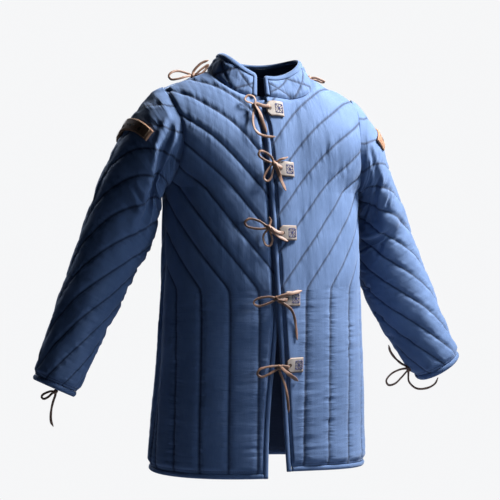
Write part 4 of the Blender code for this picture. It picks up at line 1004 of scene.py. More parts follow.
# along and column at both ends, width, depth: folds pressed in by the bent arm
SLEEVE_CREASES = {
    "left": (
        (0.050, 5.9, 0.210, 6.9, 0.0110, 0.0026), (0.400, 12.0, 0.438, 7.3, 0.0095, 0.0085),
        (0.180, 6.8, 0.385, 7.7, 0.0100, 0.0042), (0.240, 9.3, 0.365, 10.4, 0.0085, 0.0045),
        (0.485, 12.0, 0.462, 9.7, 0.0070, 0.0052), (0.560, 12.2, 0.585, 10.6, 0.0060, 0.0036),
        (0.655, 12.0, 0.640, 10.4, 0.0060, 0.0040), (0.735, 12.3, 0.770, 10.8, 0.0065, 0.0036),
        (0.300, 5.0, 0.330, 6.3, 0.0070, 0.0028), (0.520, 8.9, 0.490, 7.6, 0.0070, 0.0028),
        (0.845, 12.1, 0.835, 10.9, 0.0055, 0.0034),
    ),
    "right": (
        (0.455, 12.2, 0.480, 10.2, 0.0080, 0.0036), (0.540, 12.4, 0.528, 10.5, 0.0070, 0.0030),
        (0.605, 12.2, 0.635, 9.9, 0.0080, 0.0034), (0.690, 12.5, 0.682, 10.6, 0.0065, 0.0027),
        (0.765, 12.3, 0.790, 10.0, 0.0075, 0.0032), (0.850, 12.4, 0.842, 10.7, 0.0055, 0.0036),
        (0.030, 4.7, 0.430, 6.9, 0.0125, 0.0088), (0.215, 7.9, 0.285, 9.6, 0.0085, 0.0060),
        (0.330, 4.4, 0.375, 6.6, 0.0080, 0.0026),
    ),
}
SLEEVE_CHANNELS, SLEEVE_SLANT = 8, 3        # channels down a sleeve, and columns that each spans


def pressed(side, length, turn):
    """How far the creases draw the cloth in, with a soft roll on both sides of each."""
    total = np.zeros(np.broadcast(length, turn).shape)
    for a0, c0, a1, c1, width, depth in SLEEVE_CREASES[side]:
        x0, y0, x1, y1 = a0 * SLEEVE_RUN, c0 * COLUMN_RUN, a1 * SLEEVE_RUN, c1 * COLUMN_RUN
        size = math.hypot(x1 - x0, y1 - y0)
        ux, uy = (x1 - x0) / size, (y1 - y0) / size
        run = (length - x0) * ux + (turn - y0) * uy
        off = (length - x0) * uy - (turn - y0) * ux + 0.10 * size * np.sin(math.pi * run / size)
        ends = step(run / (0.22 * size) + 0.5) * step((size - run) / (0.22 * size) + 0.5)
        away = np.abs(off) / width
        total += ends * depth * (0.42 * np.exp(-(away - 1.7) ** 2 / 0.55) - np.exp(-away ** 2))
    return total


def make_sleeve(side):
    ring, rows = 168, 204
    along = CUFF_START * (np.arange(rows + 1) / rows)
    column = np.arange(ring) * COLUMNS / ring
    along, column = np.meshgrid(along, column, indexing="ij")
    inner_raw = sleeve_form(side, along, column)
    inner = to_side(side, inner_raw)
    length, turn = along * SLEEVE_RUN, column * COLUMN_RUN
    to_cuff = (CUFF_START - along) * SLEEVE_RUN
    spread = np.minimum(column, COLUMNS - column)
    phase = (along / CUFF_START * SLEEVE_CHANNELS * SLEEVE_SLANT + spread) / SLEEVE_SLANT
    girth = np.linalg.norm(np.roll(inner_raw, -1, 1) - inner_raw, axis=-1)
    girth = girth.mean(1, keepdims=True) * ring / COLUMNS
    down_rate, round_rate = SLEEVE_CHANNELS / CUFF_START / SLEEVE_RUN, 1 / SLEEVE_SLANT / girth
    rate = np.sqrt(down_rate ** 2 + round_rate ** 2)
    away = np.abs(phase - np.round(phase)) / rate
    half = 0.5 / rate
    fill = step((length - 0.002) / 0.022) * step(to_cuff / SEAM_RISE)
    seed = 61 if side == "left" else 83
    near = np.exp(-(away / (half * 0.5)) ** 2)
    pucker = (noise(turn / 0.021 + length * 9, length / 0.0095, seed) * 0.6
              + noise(turn / 0.030, length / 0.019, seed + 1) * 0.6) * (0.0010 + 0.0014 * near)
    dents = 0.0022 * noise(turn / 0.06, length / 0.075, seed + 2) \
        + 0.0011 * noise(turn / 0.028, length / 0.034, seed + 3)
    drawn = 0.25 + 0.75 * step((along - 0.10) / 0.16)      # slack in the sleeve's head
    plump = 0.84 + (padding(away, half) - 0.84) * drawn
    out = filled(fill, plump, pucker + dents, fill) + pressed(side, length, turn) * fill
    outer = sleeve_at(side, along, column, np.maximum(out, 0.003))
    foot = to_side(side, armhole(column[0], True))
    lead = step(length[:, :1, None] / 0.010)
    outer = foot[None] * (1 - lead) + outer * lead
    piece = shell("scene_sleeve_" + side, outer, inner, np.stack((turn, length - 2.0), -1),
                  np.stack((phase, length * 1.2), -1), np.stack((to_cuff, turn), -1), True, BLUE)
    around = np.linalg.norm(np.roll(inner_raw, -1, 1) - inner_raw, axis=-1).sum(1).max()
    down = np.linalg.norm(np.diff(inner_raw, axis=0), axis=-1).sum(0).max()
    lay_out(piece, inner, around, down, True)
    return settle(piece, "quilted_cloth", "sleeve_" + side)


# ------------------------------------------------------------------ bindings
def band(where, mixed, closed=False):
    """The rounded band that is folded over a raw edge. mixed(share, out) gives its whole run at a
    share of its width, 0 on the cloth and 1 at the edge, and a distance out of the cloth."""
    name = "scene_binding_" + where
    ring = np.stack([mixed(share, out) for share, out in (
        (0.0, 0.0004), (0.0, WALL + 0.0008), (0.22, WALL + TRIM_CROWN),
        (0.5, WALL + TRIM_CROWN + 0.0005), (0.78, WALL + TRIM_CROWN * 0.8),
        (1.0, WALL - 0.0004), (1.0, WALL * 0.5), (1.0, 0.0006))], 1)
    run = run_along(ring[:, 3])
    # the edge is uneven: the cloth inside the band pushes it out here and there
    place = run * 0 + len(name)
    wobble = noise(run / 0.013, place, 5) * 0.00035 + noise(run / 0.004, place, 6) * 0.00018
    ring[:, 2:5] += (unit(ring[:, 3] - ring[:, 0]) * wobble[:, None])[:, None]
    girth = np.array((0.0, 0.004, 0.0065, 0.0095, 0.0125, 0.015, 0.017, 0.019))
    u, v = np.meshgrid(run, girth, indexing="ij")
    maps = {"Cloth": (v, u), "Line": (v * 0 + 0.5, u), "Edge": (np.abs(v - 0.0052) + 0.0050, u)}
    piece = make_piece(name, ring, tube_faces(*ring.shape[:2], closed), BLUE_TRIM,
                       {key: np.stack(pair, -1).reshape(-1, 2) for key, pair in maps.items()})
    turn_out(piece)
    settle(piece, "binding_cloth", "binding_" + where)


def hem_at(side, own):
    """Height of the hem, which the left front lifts towards its edge."""
    rise = HEM_RISE * (1 - step(own / FRONT.reach(HEM))) if side == "left" else own * 0
    return HEM + rise


def make_edge_band(side):
    sign, laps = (1 if side == "left" else -1), side == "left"
    top = FLAP_TOP - TRIM if laps else FRONT_NECK
    foot = hem_at(side, edge_at(np.array(HEM), side) * sign)
    heights = np.linspace(float(foot), top, 130)
    edge = edge_at(heights, side)
    near = np.stack((edge + sign * TRIM, heights), -1)
    far = np.stack((edge, heights), -1)
    if laps:        # round the flap's corner and on to the collar
        corner = float(edge_at(np.array(FRONT_NECK), side)) + TRIM
        near[-1] = (corner, top)
        turn_near, turn_far = [], []
        for t in np.linspace(0.12, 1, 8):
            angle = t * math.pi / 2
            turn_near.append((corner + 0.001 * t, top))
            turn_far.append((corner - TRIM * math.cos(angle), top + TRIM * math.sin(angle)))
        tail = np.linspace(corner + 0.002, COLLAR_LEFT_START - 0.002, 8)[1:]
        near = np.concatenate((near, turn_near, np.stack((tail, tail * 0 + top), -1)))
        far = np.concatenate((far, turn_far, np.stack((tail, tail * 0 + FLAP_TOP), -1)))

    def mixed(share, out):
        place = near * (1 - share) + far * share
        return cloth(FRONT, place[:, 0], place[:, 1], out, laps)
    band("front_" + side, mixed)


def make_hem_band(side):
    face = BACK if side == "back" else FRONT
    end = float(face.reach(np.array(HEM))) + GAP
    if side == "back":
        own = np.linspace(-end, end, 190)
    else:
        sign = 1 if side == "left" else -1
        start = float(edge_at(np.array(HEM), side)) * sign + TRIM + 2 * GAP
        own = sign * np.linspace(start, end, 100)
    narrowing = face.reach(np.array(HEM + TRIM)) / face.reach(np.array(HEM))
    low = hem_at(side, own)

    def mixed(share, out):
        return cloth(face, own * (narrowing * (1 - share) + share), low + TRIM * (1 - share), out,
                     side == "left")
    band("hem_" + side, mixed)


def make_cuff_band(side):
    column = np.arange(96) * COLUMNS / 96
    start = CUFF_START + 0.0008

    def mixed(share, out):
        return sleeve_at(side, start + (1 - start) * share, column, out)
    band("cuff_" + side, mixed, True)


# ------------------------------------------------------------------ collar
NECK_Y = 0.010              # the middle of the neck
LOZENGE, LOZENGE_DEPTH = 0.066, 0.040


def collar_line(angles, faces):
    """Foot, outer foot, top of the cloth, top and way out, for stations along the neckline."""
    rows = []
    for angle, face in zip(angles, faces):
        height = min((FRONT_NECK if face is FRONT else BACK_NECK) * math.cos(angle), -GAP)
        across = SIDE_NECK * math.sin(angle)
        laps = face is FRONT and across > (COLLAR_LEFT_START + COLLAR_RIGHT_START) / 2
        inner = cloth(face, across, height, WALL + 0.0006, laps)
        outer = cloth(face, across + COLLAR_SEAT * math.sin(angle),
                      min(height - COLLAR_SEAT * math.cos(angle), -GAP), WALL + 0.0006, laps)
        middle = COLLAR_TOP_FRONT if face is FRONT else COLLAR_TOP_BACK
        rise = middle + (COLLAR_TOP_SIDE - middle) * math.sin(angle) ** 2
        top = np.array((inner[0] * COLLAR_LEAN_X, NECK_Y + (inner[1] - NECK_Y) * COLLAR_LEAN_Y,
                        rise - SHOULDER_DROP * inner[0]))
        rows.append((inner, outer, top, unit(np.array((inner[0], inner[1] - NECK_Y, 0.0)))))
    inner, outer, top, away = (np.array(part) for part in zip(*rows))
    return inner, outer, top + unit(inner - top) * (TRIM + GAP), top, away


def make_collar():
    left = math.asin(COLLAR_LEFT_START / SIDE_NECK)
    right = math.asin(-COLLAR_RIGHT_START / SIDE_NECK)
    left_in = math.asin((COLLAR_LEFT_START + TRIM) / SIDE_NECK)
    right_in = math.asin((-COLLAR_RIGHT_START + TRIM) / SIDE_NECK)
    quarter = math.pi / 2
    # stations: the left front, the back, the right front
    a = np.linspace(left_in, quarter, 52)
    b = np.linspace(quarter, -quarter, 95)[1:-1]
    c = np.linspace(-quarter, -right_in, 42)
    angles = np.concatenate((a, b, c))
    faces = [FRONT] * len(a) + [BACK] * len(b) + [FRONT] * len(c)
    count = 3 * ((len(angles) - 1) // 3) + 1
    while len(angles) > count:
        angles, faces = np.delete(angles, 60), faces[:60] + faces[61:]
    inner, outer_foot, edge, top, away = collar_line(angles, faces)
    run = run_along(inner)
    rows = 19
    v = np.linspace(0, 1, rows)[None]
    base = inner[:, None] + (edge - inner)[:, None] * v[..., None]
    # crossed quilting: phases that slant one way and the other
    spot = (run / LOZENGE)[:, None] + 0.18
    one, two = spot + v, spot - v
    line = np.minimum(*(np.abs(phase - np.round(phase)) * LOZENGE_DEPTH for phase in (one, two)))
    tall = np.linalg.norm(edge - inner, axis=-1)[:, None]
    ends = np.minimum(run, run[-1] - run)[:, None]
    seam = np.minimum(np.minimum(v * tall, (1 - v) * tall), ends)
    fill = step((seam + 0.001) / 0.009)
    r = run[:, None] + v * 0
    lumps = 0.0008 * noise(r / 0.012, v * tall / 0.02, 91) \
        + 0.0011 * noise(r / 0.035, v * tall / 0.03, 92)
    out = WALL + 0.0034 * fill * padding(line, 0.020) + lumps * fill
    wall = base + away[:, None] * out[..., None]
    foot = step(v * tall / 0.006)[..., None]
    wall = outer_foot[:, None] * (1 - foot) + wall * foot
    piece = shell("scene_collar", wall, base, np.stack((r, v * tall), -1), np.stack((one, two), -1),
                  np.stack((v * tall + 0.02, r), -1), False, BLUE_CROSSED)
    lay_out(piece, base, run[-1], float(tall.max()), False)
    settle(piece, "quilted_cloth", "collar")

    # its binding: up the left end, along the top and down the right end
    end_foot, _, end_edge, _, _ = collar_line([left, -right], [FRONT, FRONT])
    stations = []       # inner side, edge and way out

    def up_the_end(k, shares):
        for t in shares:
            stations.append((inner[k] + (edge[k] - inner[k]) * t,
                             end_foot[k] + (end_edge[k] - end_foot[k]) * t, away[k]))

    def round_the_corner(k, shares):
        aside, up = end_edge[k] - edge[k], top[k] - edge[k]
        for turn in shares * quarter:
            place = edge[k] + aside * math.cos(turn) + up * math.sin(turn)
            stations.append((edge[k], place, away[k]))

    up_the_end(0, np.linspace(0, 1, 9)[:-1])
    round_the_corner(0, np.linspace(0, 1, 7)[:-1])
    stations += zip(edge, top, away)
    round_the_corner(-1, np.linspace(1, 0, 7)[1:])
    up_the_end(-1, np.linspace(1, 0, 9)[1:])
    near, far, out_way = (np.array(part) for part in zip(*stations))
    near = near + unit(far - near) * GAP
    band("collar", lambda share, out: near * (1 - share) + far * share + out_way * out)


# ------------------------------------------------------------------ leather
# height, across, lift
TABS = {"1": (-0.161, -0.0025, 0.0009), "2": (-0.282, 0.0095, 0.0), "3": (-0.4135, 0.0075, 0.0),
        "4": (-0.549, 0.0115, 0.0), "5": (-0.687, 0.0205, -0.0005)}
TAB_LENGTH, TAB_WIDTH, TAB_THICK, TAB_CHAMFER = 0.038, 0.031, 0.0028, 0.008
PATCH_FROM, PATCH_TO, PATCH_THICK = -2.4, 4.0, 0.0025
PATCH_SPANS = {"right": (0.150, 0.204), "left": (0.118, 0.172)}
PATCH_MIDDLE, PATCH_SLANT = 0.8, -0.0095


def slab(name, shape, place, thick, material, steps, under):
    """A sheet of leather with rounded edges, its underside sunk by under into the cloth.

    shape(u, v) gives its place in the pattern and place(x, y, out) the point, at a distance out."""
    u, v = np.meshgrid(np.linspace(0, 1, steps[0]), np.linspace(0, 1, steps[1]), indexing="ij")
    x, y = shape(u, v)
    rim = np.minimum(np.minimum(u, 1 - u) * steps[0], np.minimum(v, 1 - v) * steps[1])
    bevel = np.sqrt(np.clip(1 - (1 - np.clip(rim / 1.2, 0, 1)) ** 2, 0, 1))
    crown = np.sin(math.pi * u) * np.sin(math.pi * v)
    top = place(x, y, thick * (0.45 + 0.55 * bevel) + 0.0004 * crown)
    low = place(x, y, thick * 0.45 * (1 - bevel) - under)
    rows, columns = u.shape
    faces = grid_faces(rows, columns, False, 0)
    base = rows * columns
    faces += grid_faces(rows, columns, False, base)
    around = list(range(columns))
    around += [r * columns + columns - 1 for r in range(1, rows)]
    around += [(rows - 1) * columns + c for c in range(columns - 2, -1, -1)]
    around += [r * columns for r in range(rows - 2, 0, -1)]
    faces += [(a, b, base + b, base + a) for a, b in zip(around, around[1:] + around[:1])]
    points = np.concatenate((top.reshape(-1, 3), low.reshape(-1, 3)))
    piece = make_piece(name, points, faces, material)
    turn_out(piece)
    return piece


# share of a stitch's length, its width and its height there
STITCH_RINGS = ((0.0, 0.5, 0.2), (0.3, 1.0, 1.1), (0.7, 1.0, 1.1), (1.0, 0.5, 0.2))
# radius and height of the rings of a punched hole
HOLE_RINGS = ((1.35, -0.0003), (1.15, 0.0004), (0.96, 0.0003), (0.80, 0.0001))


def stitches(name, slot, material, over, lines, dash, gauge, fill, metres=(1.0, 1.0)):
    """Short raised stitches along lines (x0, y0, x1, y1), a dash apart.

    over(x, y, out) gives a point on the leather; metres is the size of a unit of x and of y."""
    mx, my = metres
    x, y, rise, faces = [], [], [], []
    for x0, y0, x1, y1 in lines:
        count = max(1, round(math.hypot((x1 - x0) * mx, (y1 - y0) * my) / dash))
        for k in range(count):
            a, b = (k + 0.5 - fill / 2) / count, (k + 0.5 + fill / 2) / count
            sx, sy = x0 + (x1 - x0) * a, y0 + (y1 - y0) * a
            ex, ey = x0 + (x1 - x0) * b, y0 + (y1 - y0) * b
            length = math.hypot((ex - sx) * mx, (ey - sy) * my)
            nx, ny = -(ey - sy) * my / length * gauge / mx, (ex - sx) * mx / length * gauge / my
            faces += shifted(tube_faces(4, 3), len(x))
            for t, size, out in STITCH_RINGS:
                for way in (-1, 0, 1):
                    x.append(sx + (ex - sx) * t + nx * way * size)
                    y.append(sy + (ey - sy) * t + ny * way * size)
                    rise.append(out * gauge if way == 0 else -0.3 * gauge)
    thread = make_piece(name, over(np.array(x), np.array(y), np.array(rise)), faces, material)
    turn_out(thread)
    settle(thread, slot)


def holes(name, over, spots, radius, metres=(1.0, 1.0), sides=14):
    """Small punched holes: a low burr round a floor painted near black as the shade inside the hole."""
    x, y, rise, faces = [], [], [], []
    turns = [2 * math.pi * k / sides for k in range(sides)]
    for cx, cy in spots:
        walls = tube_faces(4, sides)
        faces += shifted(walls[:-2] + walls[-1:], len(x))       # the outer ring has no cap
        for size, out in HOLE_RINGS:
            x += [cx + radius * size * math.cos(turn) / metres[0] for turn in turns]
            y += [cy + radius * size * math.sin(turn) / metres[1] for turn in turns]
            rise += [out] * sides
    form = over(np.array(x), np.array(y), np.array(rise))
    settle(make_piece(name, form, faces, HOLE_SHADE_LEATHER), "brown_leather")


def make_tab(number):
    height, across, lift = TABS[number]
    base = WALL + PUFF + 0.0009 + lift

    def shape(u, v):
        x = -TAB_LENGTH / 2 + TAB_LENGTH * u
        half = TAB_WIDTH / 2 - TAB_CHAMFER * np.clip(1 - (x + TAB_LENGTH / 2) / TAB_CHAMFER, 0, 1)
        return x, (2 * v - 1) * half

    def place(x, y, out):
        return cloth(FRONT, across + x, height + y, base + out, True)

    def over(x, y, out):
        return place(x, y, TAB_THICK + 0.0004 + out)
    tab = slab("scene_tab_" + number, shape, place, TAB_THICK, NATURAL, (26, 20), 0.0015)
    settle(tab, "pale_leather", "tab_" + number)
    box = [(0.0010, -0.0085, 0.0160, -0.0085), (0.0160, -0.0085, 0.0160, 0.0085),
           (0.0160, 0.0085, 0.0010, 0.0085), (0.0010, 0.0085, 0.0010, -0.0085)]
    cross = [(0.0022, -0.0073, 0.0148, 0.0073), (0.0022, 0.0073, 0.0148, -0.0073),
             (0.0085, -0.0076, 0.0085, 0.0076), (0.0020, 0.0, 0.0150, 0.0)]
    stitches("scene_tab_stitches_" + number, "pale_leather", BLUE_THREAD, over, box + cross,
             0.0031, 0.0011, 0.80)
    holes("scene_tab_hole_" + number, over, [(-0.0118, 0.0)], 0.0031)


def make_patch(side):
    top, low = PATCH_SPANS[side]
    base = WALL + PUFF + 0.0016

    def shape(u, v):
        return PATCH_FROM + (PATCH_TO - PATCH_FROM) * u, top + (low - top) * v

    def place(x, y, out):
        return sleeve_at(side, y + PATCH_SLANT * (x - PATCH_MIDDLE), x, base + np.asarray(out))
    patch = slab("scene_arm_patch_" + side, shape, place, PATCH_THICK, BROWN, (48, 20), 0.003)
    settle(patch, "brown_leather", "arm_patch_" + side)

    def over(x, y, out):
        return place(x, y, PATCH_THICK + 0.0008 + out)
    span, size = low - top, (COLUMN_RUN, SLEEVE_RUN)
    left, right = PATCH_FROM + 0.3, PATCH_TO - 0.3
    high_line, low_line = top + span * 0.10, low - span * 0.10
    ends = ((left, high_line), (right, high_line), (right, low_line), (left, low_line))
    lines = [(*a, *b) for a, b in zip(ends, ends[1:] + ends[:1])]
    stitches("scene_patch_stitches_" + side, "brown_leather", TAN_THREAD, over, lines,
             0.0036, 0.0006, 0.72, size)
    spots = [(PATCH_FROM + (PATCH_TO - PATCH_FROM) * part, low - span * 0.36)
             for part in (0.34, 0.56, 0.78)]
    holes("scene_patch_holes_" + side, over, spots, 0.0026, size)
    spots = [(x, top + span * 0.52) for x in (0.6, 1.6, 2.6)]
    holes("scene_patch_holes_" + side, over, spots, 0.0022, size)


# ------------------------------------------------------------------ laces
# the ties' knots and routes, in millimetres from the middle of their tab: across, up, out
KNOTS = {"1": (-46, 7), "2": (-26, 9), "3": (-40, 10), "4": (-32, 1), "5": (-35, -3)}
TIES = {
    "tie_1_strap": ((-12, 3, 17.5), (-26, 3, 18.2), (-45, 8, 20.8), (-37, -9, 16), (-32, -30, 14),
        (-26, -49, 14)),
    "tie_1_loop": ((-52, 14, 15), (-61, 19, 15), (-65, 26, 15.5), (-57, 32, 16), (-46, 28, 16),
        (-42, 20, 15.5), (-43, 14, 15)),
    "tie_1_tail": ((-48, 0, 14.5), (-52, -11, 14), (-54, -28, 14), (-50, -43, 14), (-39, -53, 14),
        (-22, -57, 14), (-7, -57, 14)),
    "tie_2_strap": ((-11, 0, 16.7), (-16, 4, 17.8), (-26, 9, 20), (-20, -5, 18.5), (-13, -24, 15),
        (-4, -45, 14)),
    "tie_2_loop": ((-33, 11, 15), (-46, 16, 15), (-58, 26, 16), (-55, 35, 16.5), (-44, 32, 16),
        (-33, 24, 15.5), (-28, 16, 15)),
    "tie_2_tail": ((-20, 12, 15.5), (-13, 17, 17), (-4, 20, 17), (5, 24, 17)),
    "tie_2_low_loop": ((-32, 5, 15), (-42, -7, 14.5), (-48, -20, 14), (-41, -27, 14),
        (-33, -19, 14), (-29, -6, 14.5), (-27, 1, 15)),
    "tie_3_strap": ((-12, -2, 17), (-23, 1, 17.5), (-40, 10, 20.3), (-27, -4, 18),
        (-15, -12, 17.5), (-3, -18, 17.5)),
    "tie_3_loop": ((-47, 8, 15), (-62, 7, 15), (-82, 11, 15), (-87, 20, 15.5), (-77, 27, 16),
        (-60, 23, 15.5), (-46, 14, 15)),
    "tie_3_tail": ((-38, 17, 15), (-36, 24, 15), (-39, 31, 16)),
    "tie_3_low_loop": ((-45, 4, 15), (-52, -8, 14.5), (-49, -23, 14), (-40, -27, 14),
        (-34, -16, 14), (-36, -5, 14.5), (-39, 3, 15)),
    "tie_4_strap": ((-12, -2, 17), (-21, -1, 17.5), (-32, 3, 20.5), (-16, 8, 18.5), (1, 12, 17.5),
        (21, 16, 17.5)),
    "tie_4_loop": ((-38, 3, 15), (-51, 5, 15), (-71, 1, 15), (-78, -7, 15), (-69, -14, 15),
        (-51, -9, 15), (-38, -3, 15)),
    "tie_4_tail": ((-28, -5, 15.5), (-16, -12, 17), (-2, -25, 17), (7, -49, 14.5), (12, -86, 14)),
    "tie_5_strap": ((-15, -4, 16.3), (-24, -2, 17.3), (-34, -1, 20.5), (-22, -13, 18),
        (-7, -24, 17), (7, -33, 14.5)),
    "tie_5_loop": ((-41, 0, 15), (-57, -1, 15), (-74, -6, 15), (-79, -16, 15), (-70, -22, 15),
        (-54, -15, 15), (-41, -7, 15)),
    "tie_5_tail": ((-34, -13, 15.5), (-29, -25, 14.5), (-21, -45, 14), (-16, -71, 14),
        (-13, -98, 14)),
}
# the laces and knots at the shoulders and cuffs, in millimetres: x, y, z
FREE_LACES = {
    "shoulder_right_ring": ((-158, -1, -3), (-171, -8, -6), (-186, -10, -10), (-199, -8, -11),
        (-203, -4, -3), (-194, -1, 5), (-178, 3, 7), (-158, 6, 2)),
    "shoulder_right_leaf": ((-140, 2, 2), (-130, 2, 11), (-114, 3, 21), (-124, -3, 8),
        (-138, -4, -2)),
    "shoulder_right_tail": ((-145, 10, 6), (-138, 11, 15), (-126, 11, 25), (-111, 10, 31)),
    "shoulder_left_loop": ((127.5, 15, -4), (135, 13, -5), (146, 13, -9), (154, 15, -13),
        (150, 20, -14), (140, 22, -10), (127.5, 21, -8)),
    "cuff_right_tail": ((-433, 78, -683.5), (-437.5, 77, -695), (-441.5, 76, -710),
        (-443.5, 75, -726), (-442.5, 75, -739), (-438, 75, -749)),
    "cuff_right_loop": ((-441, 78, -679), (-448, 77, -685), (-458, 76, -689), (-463, 76, -684),
        (-457, 77, -678), (-443.5, 78, -673.5)),
    "cuff_left_loop": ((347.8, 18.5, -645.2), (331.8, 16.5, -647.2), (311.8, 13.5, -655.2),
        (299.8, 13.5, -669.2), (305.8, 14.5, -680.2), (321.8, 15.5, -677.2), (337.8, 17.5, -664.2),
        (348.8, 18.5, -653.2)),
    "cuff_left_tail": ((349.8, 20.5, -640.2), (334.8, 17.5, -632.2), (319.8, 15.5, -619.2),
        (309.8, 15.5, -605.2), (305.8, 15.5, -591.2)),
    "cuff_left_low_loop": ((354.8, 19.5, -656.2), (355.8, 17.5, -675.2), (372.8, 15.5, -690.2),
        (396.8, 13.5, -690.2), (414.8, 11.5, -681.2), (422.8, 11.5, -667.2)),
}
FREE_KNOTS = {
    "shoulder_right_knot": (-148.3, 4.4, -2.1),
    "shoulder_left_knot": (118.9, 17.1, -5.1),
    "cuff_right_knot": (-432, 78.2, -674.1),
    "cuff_left_knot": (355.4, 19.9, -647.3),
}
KNOT_SIZE = np.array((0.0055, 0.0036, 0.0048))
KNOT_OUT = WALL + PUFF + 0.0006 + 0.0036
STRAP_WIDE, TAIL_WIDE, LOOP_WIDE, THIN = 0.0076, 0.0056, 0.0048, 0.0019        # the thongs
SHORTEST = 0.0305                    # a shorter end belongs to its knot


def smooth_path(points, size):
    """Points a size apart on a smooth curve through the given ones, and its length."""
    points = [np.array(p, float) for p in points]
    ghosts = [2 * points[0] - points[1]] + points + [2 * points[-1] - points[-2]]
    fine = []
    for k in range(1, len(ghosts) - 2):
        p0, p1, p2, p3 = ghosts[k - 1:k + 3]
        for part in range(12):
            t = part / 12.0
            fine.append(0.5 * (2 * p1 + (p2 - p0) * t + (2 * p0 - 5 * p1 + 4 * p2 - p3) * t * t
                               + (3 * p1 - p0 - 3 * p2 + p3) * t ** 3))
    fine = np.array(fine + [points[-1]])
    run = run_along(fine)
    count = max(4, round(run[-1] / size))
    goal = np.linspace(0, run[-1], count + 1)
    return np.stack([np.interp(goal, run, fine[:, axis]) for axis in range(3)], -1), run[-1]


def to_knot(points, centre):
    """A lace's route with the ends that stop short of its knot led on to it."""
    path = [np.array(p, float) for p in points]
    for end in (len(path), 0):
        away = path[max(end - 1, 0)] - centre
        reach = np.linalg.norm(away)
        spoke = away / reach
        surface = 1.0 / math.sqrt(float(((spoke / KNOT_SIZE) ** 2).sum()))
        if surface + 0.0013 < reach < 0.017:
            path.insert(end, centre + spoke * (surface - 0.0006))
    return path


def strap_form(path, facing, twist, wide, thin, closed=False, pointed=False):
    """Points and faces of a flat thong along a path; facing is the way that its flat side looks."""
    count = len(path)
    if closed:
        along = np.roll(path, -1, 0) - np.roll(path, 1, 0)
    else:
        along = np.gradient(path, axis=0)
    along = unit(along)
    facing = np.broadcast_to(facing, path.shape)
    flat = unit(facing - (facing * along).sum(-1, keepdims=True) * along)
    side = np.cross(along, flat)
    t = np.linspace(0, 1, count)
    turn = twist(t)[:, None]
    cos, sin = np.cos(turn), np.sin(turn)
    flat, side = flat * cos + side * sin, side * cos - flat * sin
    w, h = wide / 2, thin / 2
    ring = ((w, -h * 0.4), (w, h * 0.4), (w - h * 0.7, h), (0, h * 0.92), (-w + h * 0.7, h),
            (-w, h * 0.4), (-w, -h * 0.4), (-w + h * 0.7, -h), (0, -h * 0.92), (w - h * 0.7, -h))
    size = np.ones(count)
    run = run_along(path)
    if pointed:
        size = np.minimum(size, 0.28 + 0.72 * np.clip((run[-1] - run) / 0.008, 0, 1))
    if not closed:
        size = size * (1 + 0.06 * noise(run / 0.012, run * 0 + count, 3))
    points = np.stack([path + side * (x * size)[:, None] + flat * y for x, y in ring], 1)
    return points.reshape(-1, 3), tube_faces(count, len(ring), closed)


def make_knot(name, node_name, centre, across, out, lean, laces):
    """A knot and its laces: three turns of thong drawn tight round each other, the core that shows
    between them, and the laces' short ends. Each lace has its place in the list, name and route."""
    points, faces = [], []
    up = np.cross(out, across) * -1
    turn = np.linspace(0, 2 * math.pi, 28, endpoint=False)
    for tilt, size, wide in ((0, 1.12, 0.0052), (0.9, 0.96, 0.0048), (-0.9, 0.86, 0.0048)):
        tilt += lean
        cross = -across * math.sin(tilt) + up * math.cos(tilt)
        rise, swing = np.cos(turn)[:, None] * cross, np.sin(turn)[:, None] * out
        ring = centre + (rise * 0.0048 + swing * 0.0038) * size
        more, some = strap_form(ring, rise + swing, lambda t: t * 0, wide, 0.0017, closed=True)
        faces += shifted(some, len(points))
        points += list(more)
    faces += shifted(tube_faces(5, 10), len(points))
    for k in range(5):
        lat = math.pi * (k + 0.5) / 5
        for j in range(10):
            lon = 2 * math.pi * j / 10
            spoke = out * math.cos(lon) * 0.0026 + up * math.sin(lon) * 0.0034
            points.append(centre + across * math.cos(lat) * 0.0042 + spoke * math.sin(lat))

    nodes = [node_name]
    for k, lace, route, far_end in laces:
        short = make_lace(lace, route, out, centre, far_end, 0.55 if k % 2 else -0.45)
        if short:
            faces += shifted(short[1], len(points))
            points += list(short[0])
            nodes.append(lace)
    knot = make_piece(name, np.array(points), faces, LACE_LEATHER)
    turn_out(knot)
    settle(knot, "lace_leather", *nodes)


def make_lace(name, points, facing, centre, far_end, twist_by):
    """A lace's piece; an end too short for a cord comes back as points and faces for its knot."""
    path, length = smooth_path(to_knot(points, centre), 0.0022)
    wide = {"strap": STRAP_WIDE, "tail": TAIL_WIDE}.get(name.split("_")[-1], LOOP_WIDE)

    def twist(t):
        return twist_by * np.sin(math.pi * t * 1.6) + 0.25 * twist_by * np.sin(math.pi * t * 5.0)
    form, faces = strap_form(path, facing, twist, wide, THIN, pointed=far_end == "bare")
    if length < SHORTEST:
        return form, faces
    piece = make_piece("scene_" + name, form, faces, LACE_LEATHER)
    turn_out(piece)
    settle(piece, "lace_leather", name)
    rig.cord(piece, exit=[float(c) for c in path[0]], length=float(length), diameter=wide,
            far_end=far_end, stiffness="medium", lay="loose",
            path=[[float(c) for c in p] for p in path])
    return None


def make_ties():
    for number, (x, up) in KNOTS.items():
        height, across = TABS[number][:2]
        place = across + x * MM, height + up * MM
        out = FRONT.outward(*place)
        side_way = np.array((1.0, 0.0, 0.0)) - out[0] * out
        laces = []
        for k, (lace, route) in enumerate(TIES.items()):
            if lace.startswith("tie_" + number):
                route = [cloth(FRONT, across + a * MM, height + b * MM, c * MM, True)
                         for a, b, c in route]
                laces.append((k, lace, route, "object" if lace.endswith("loop") else "bare"))
        centre = cloth(FRONT, *place, KNOT_OUT, True)
        make_knot("scene_knot_" + number, "tie_%s_knot" % number, centre, unit(side_way), out,
                  0.35 - 0.2 * int(number), laces)


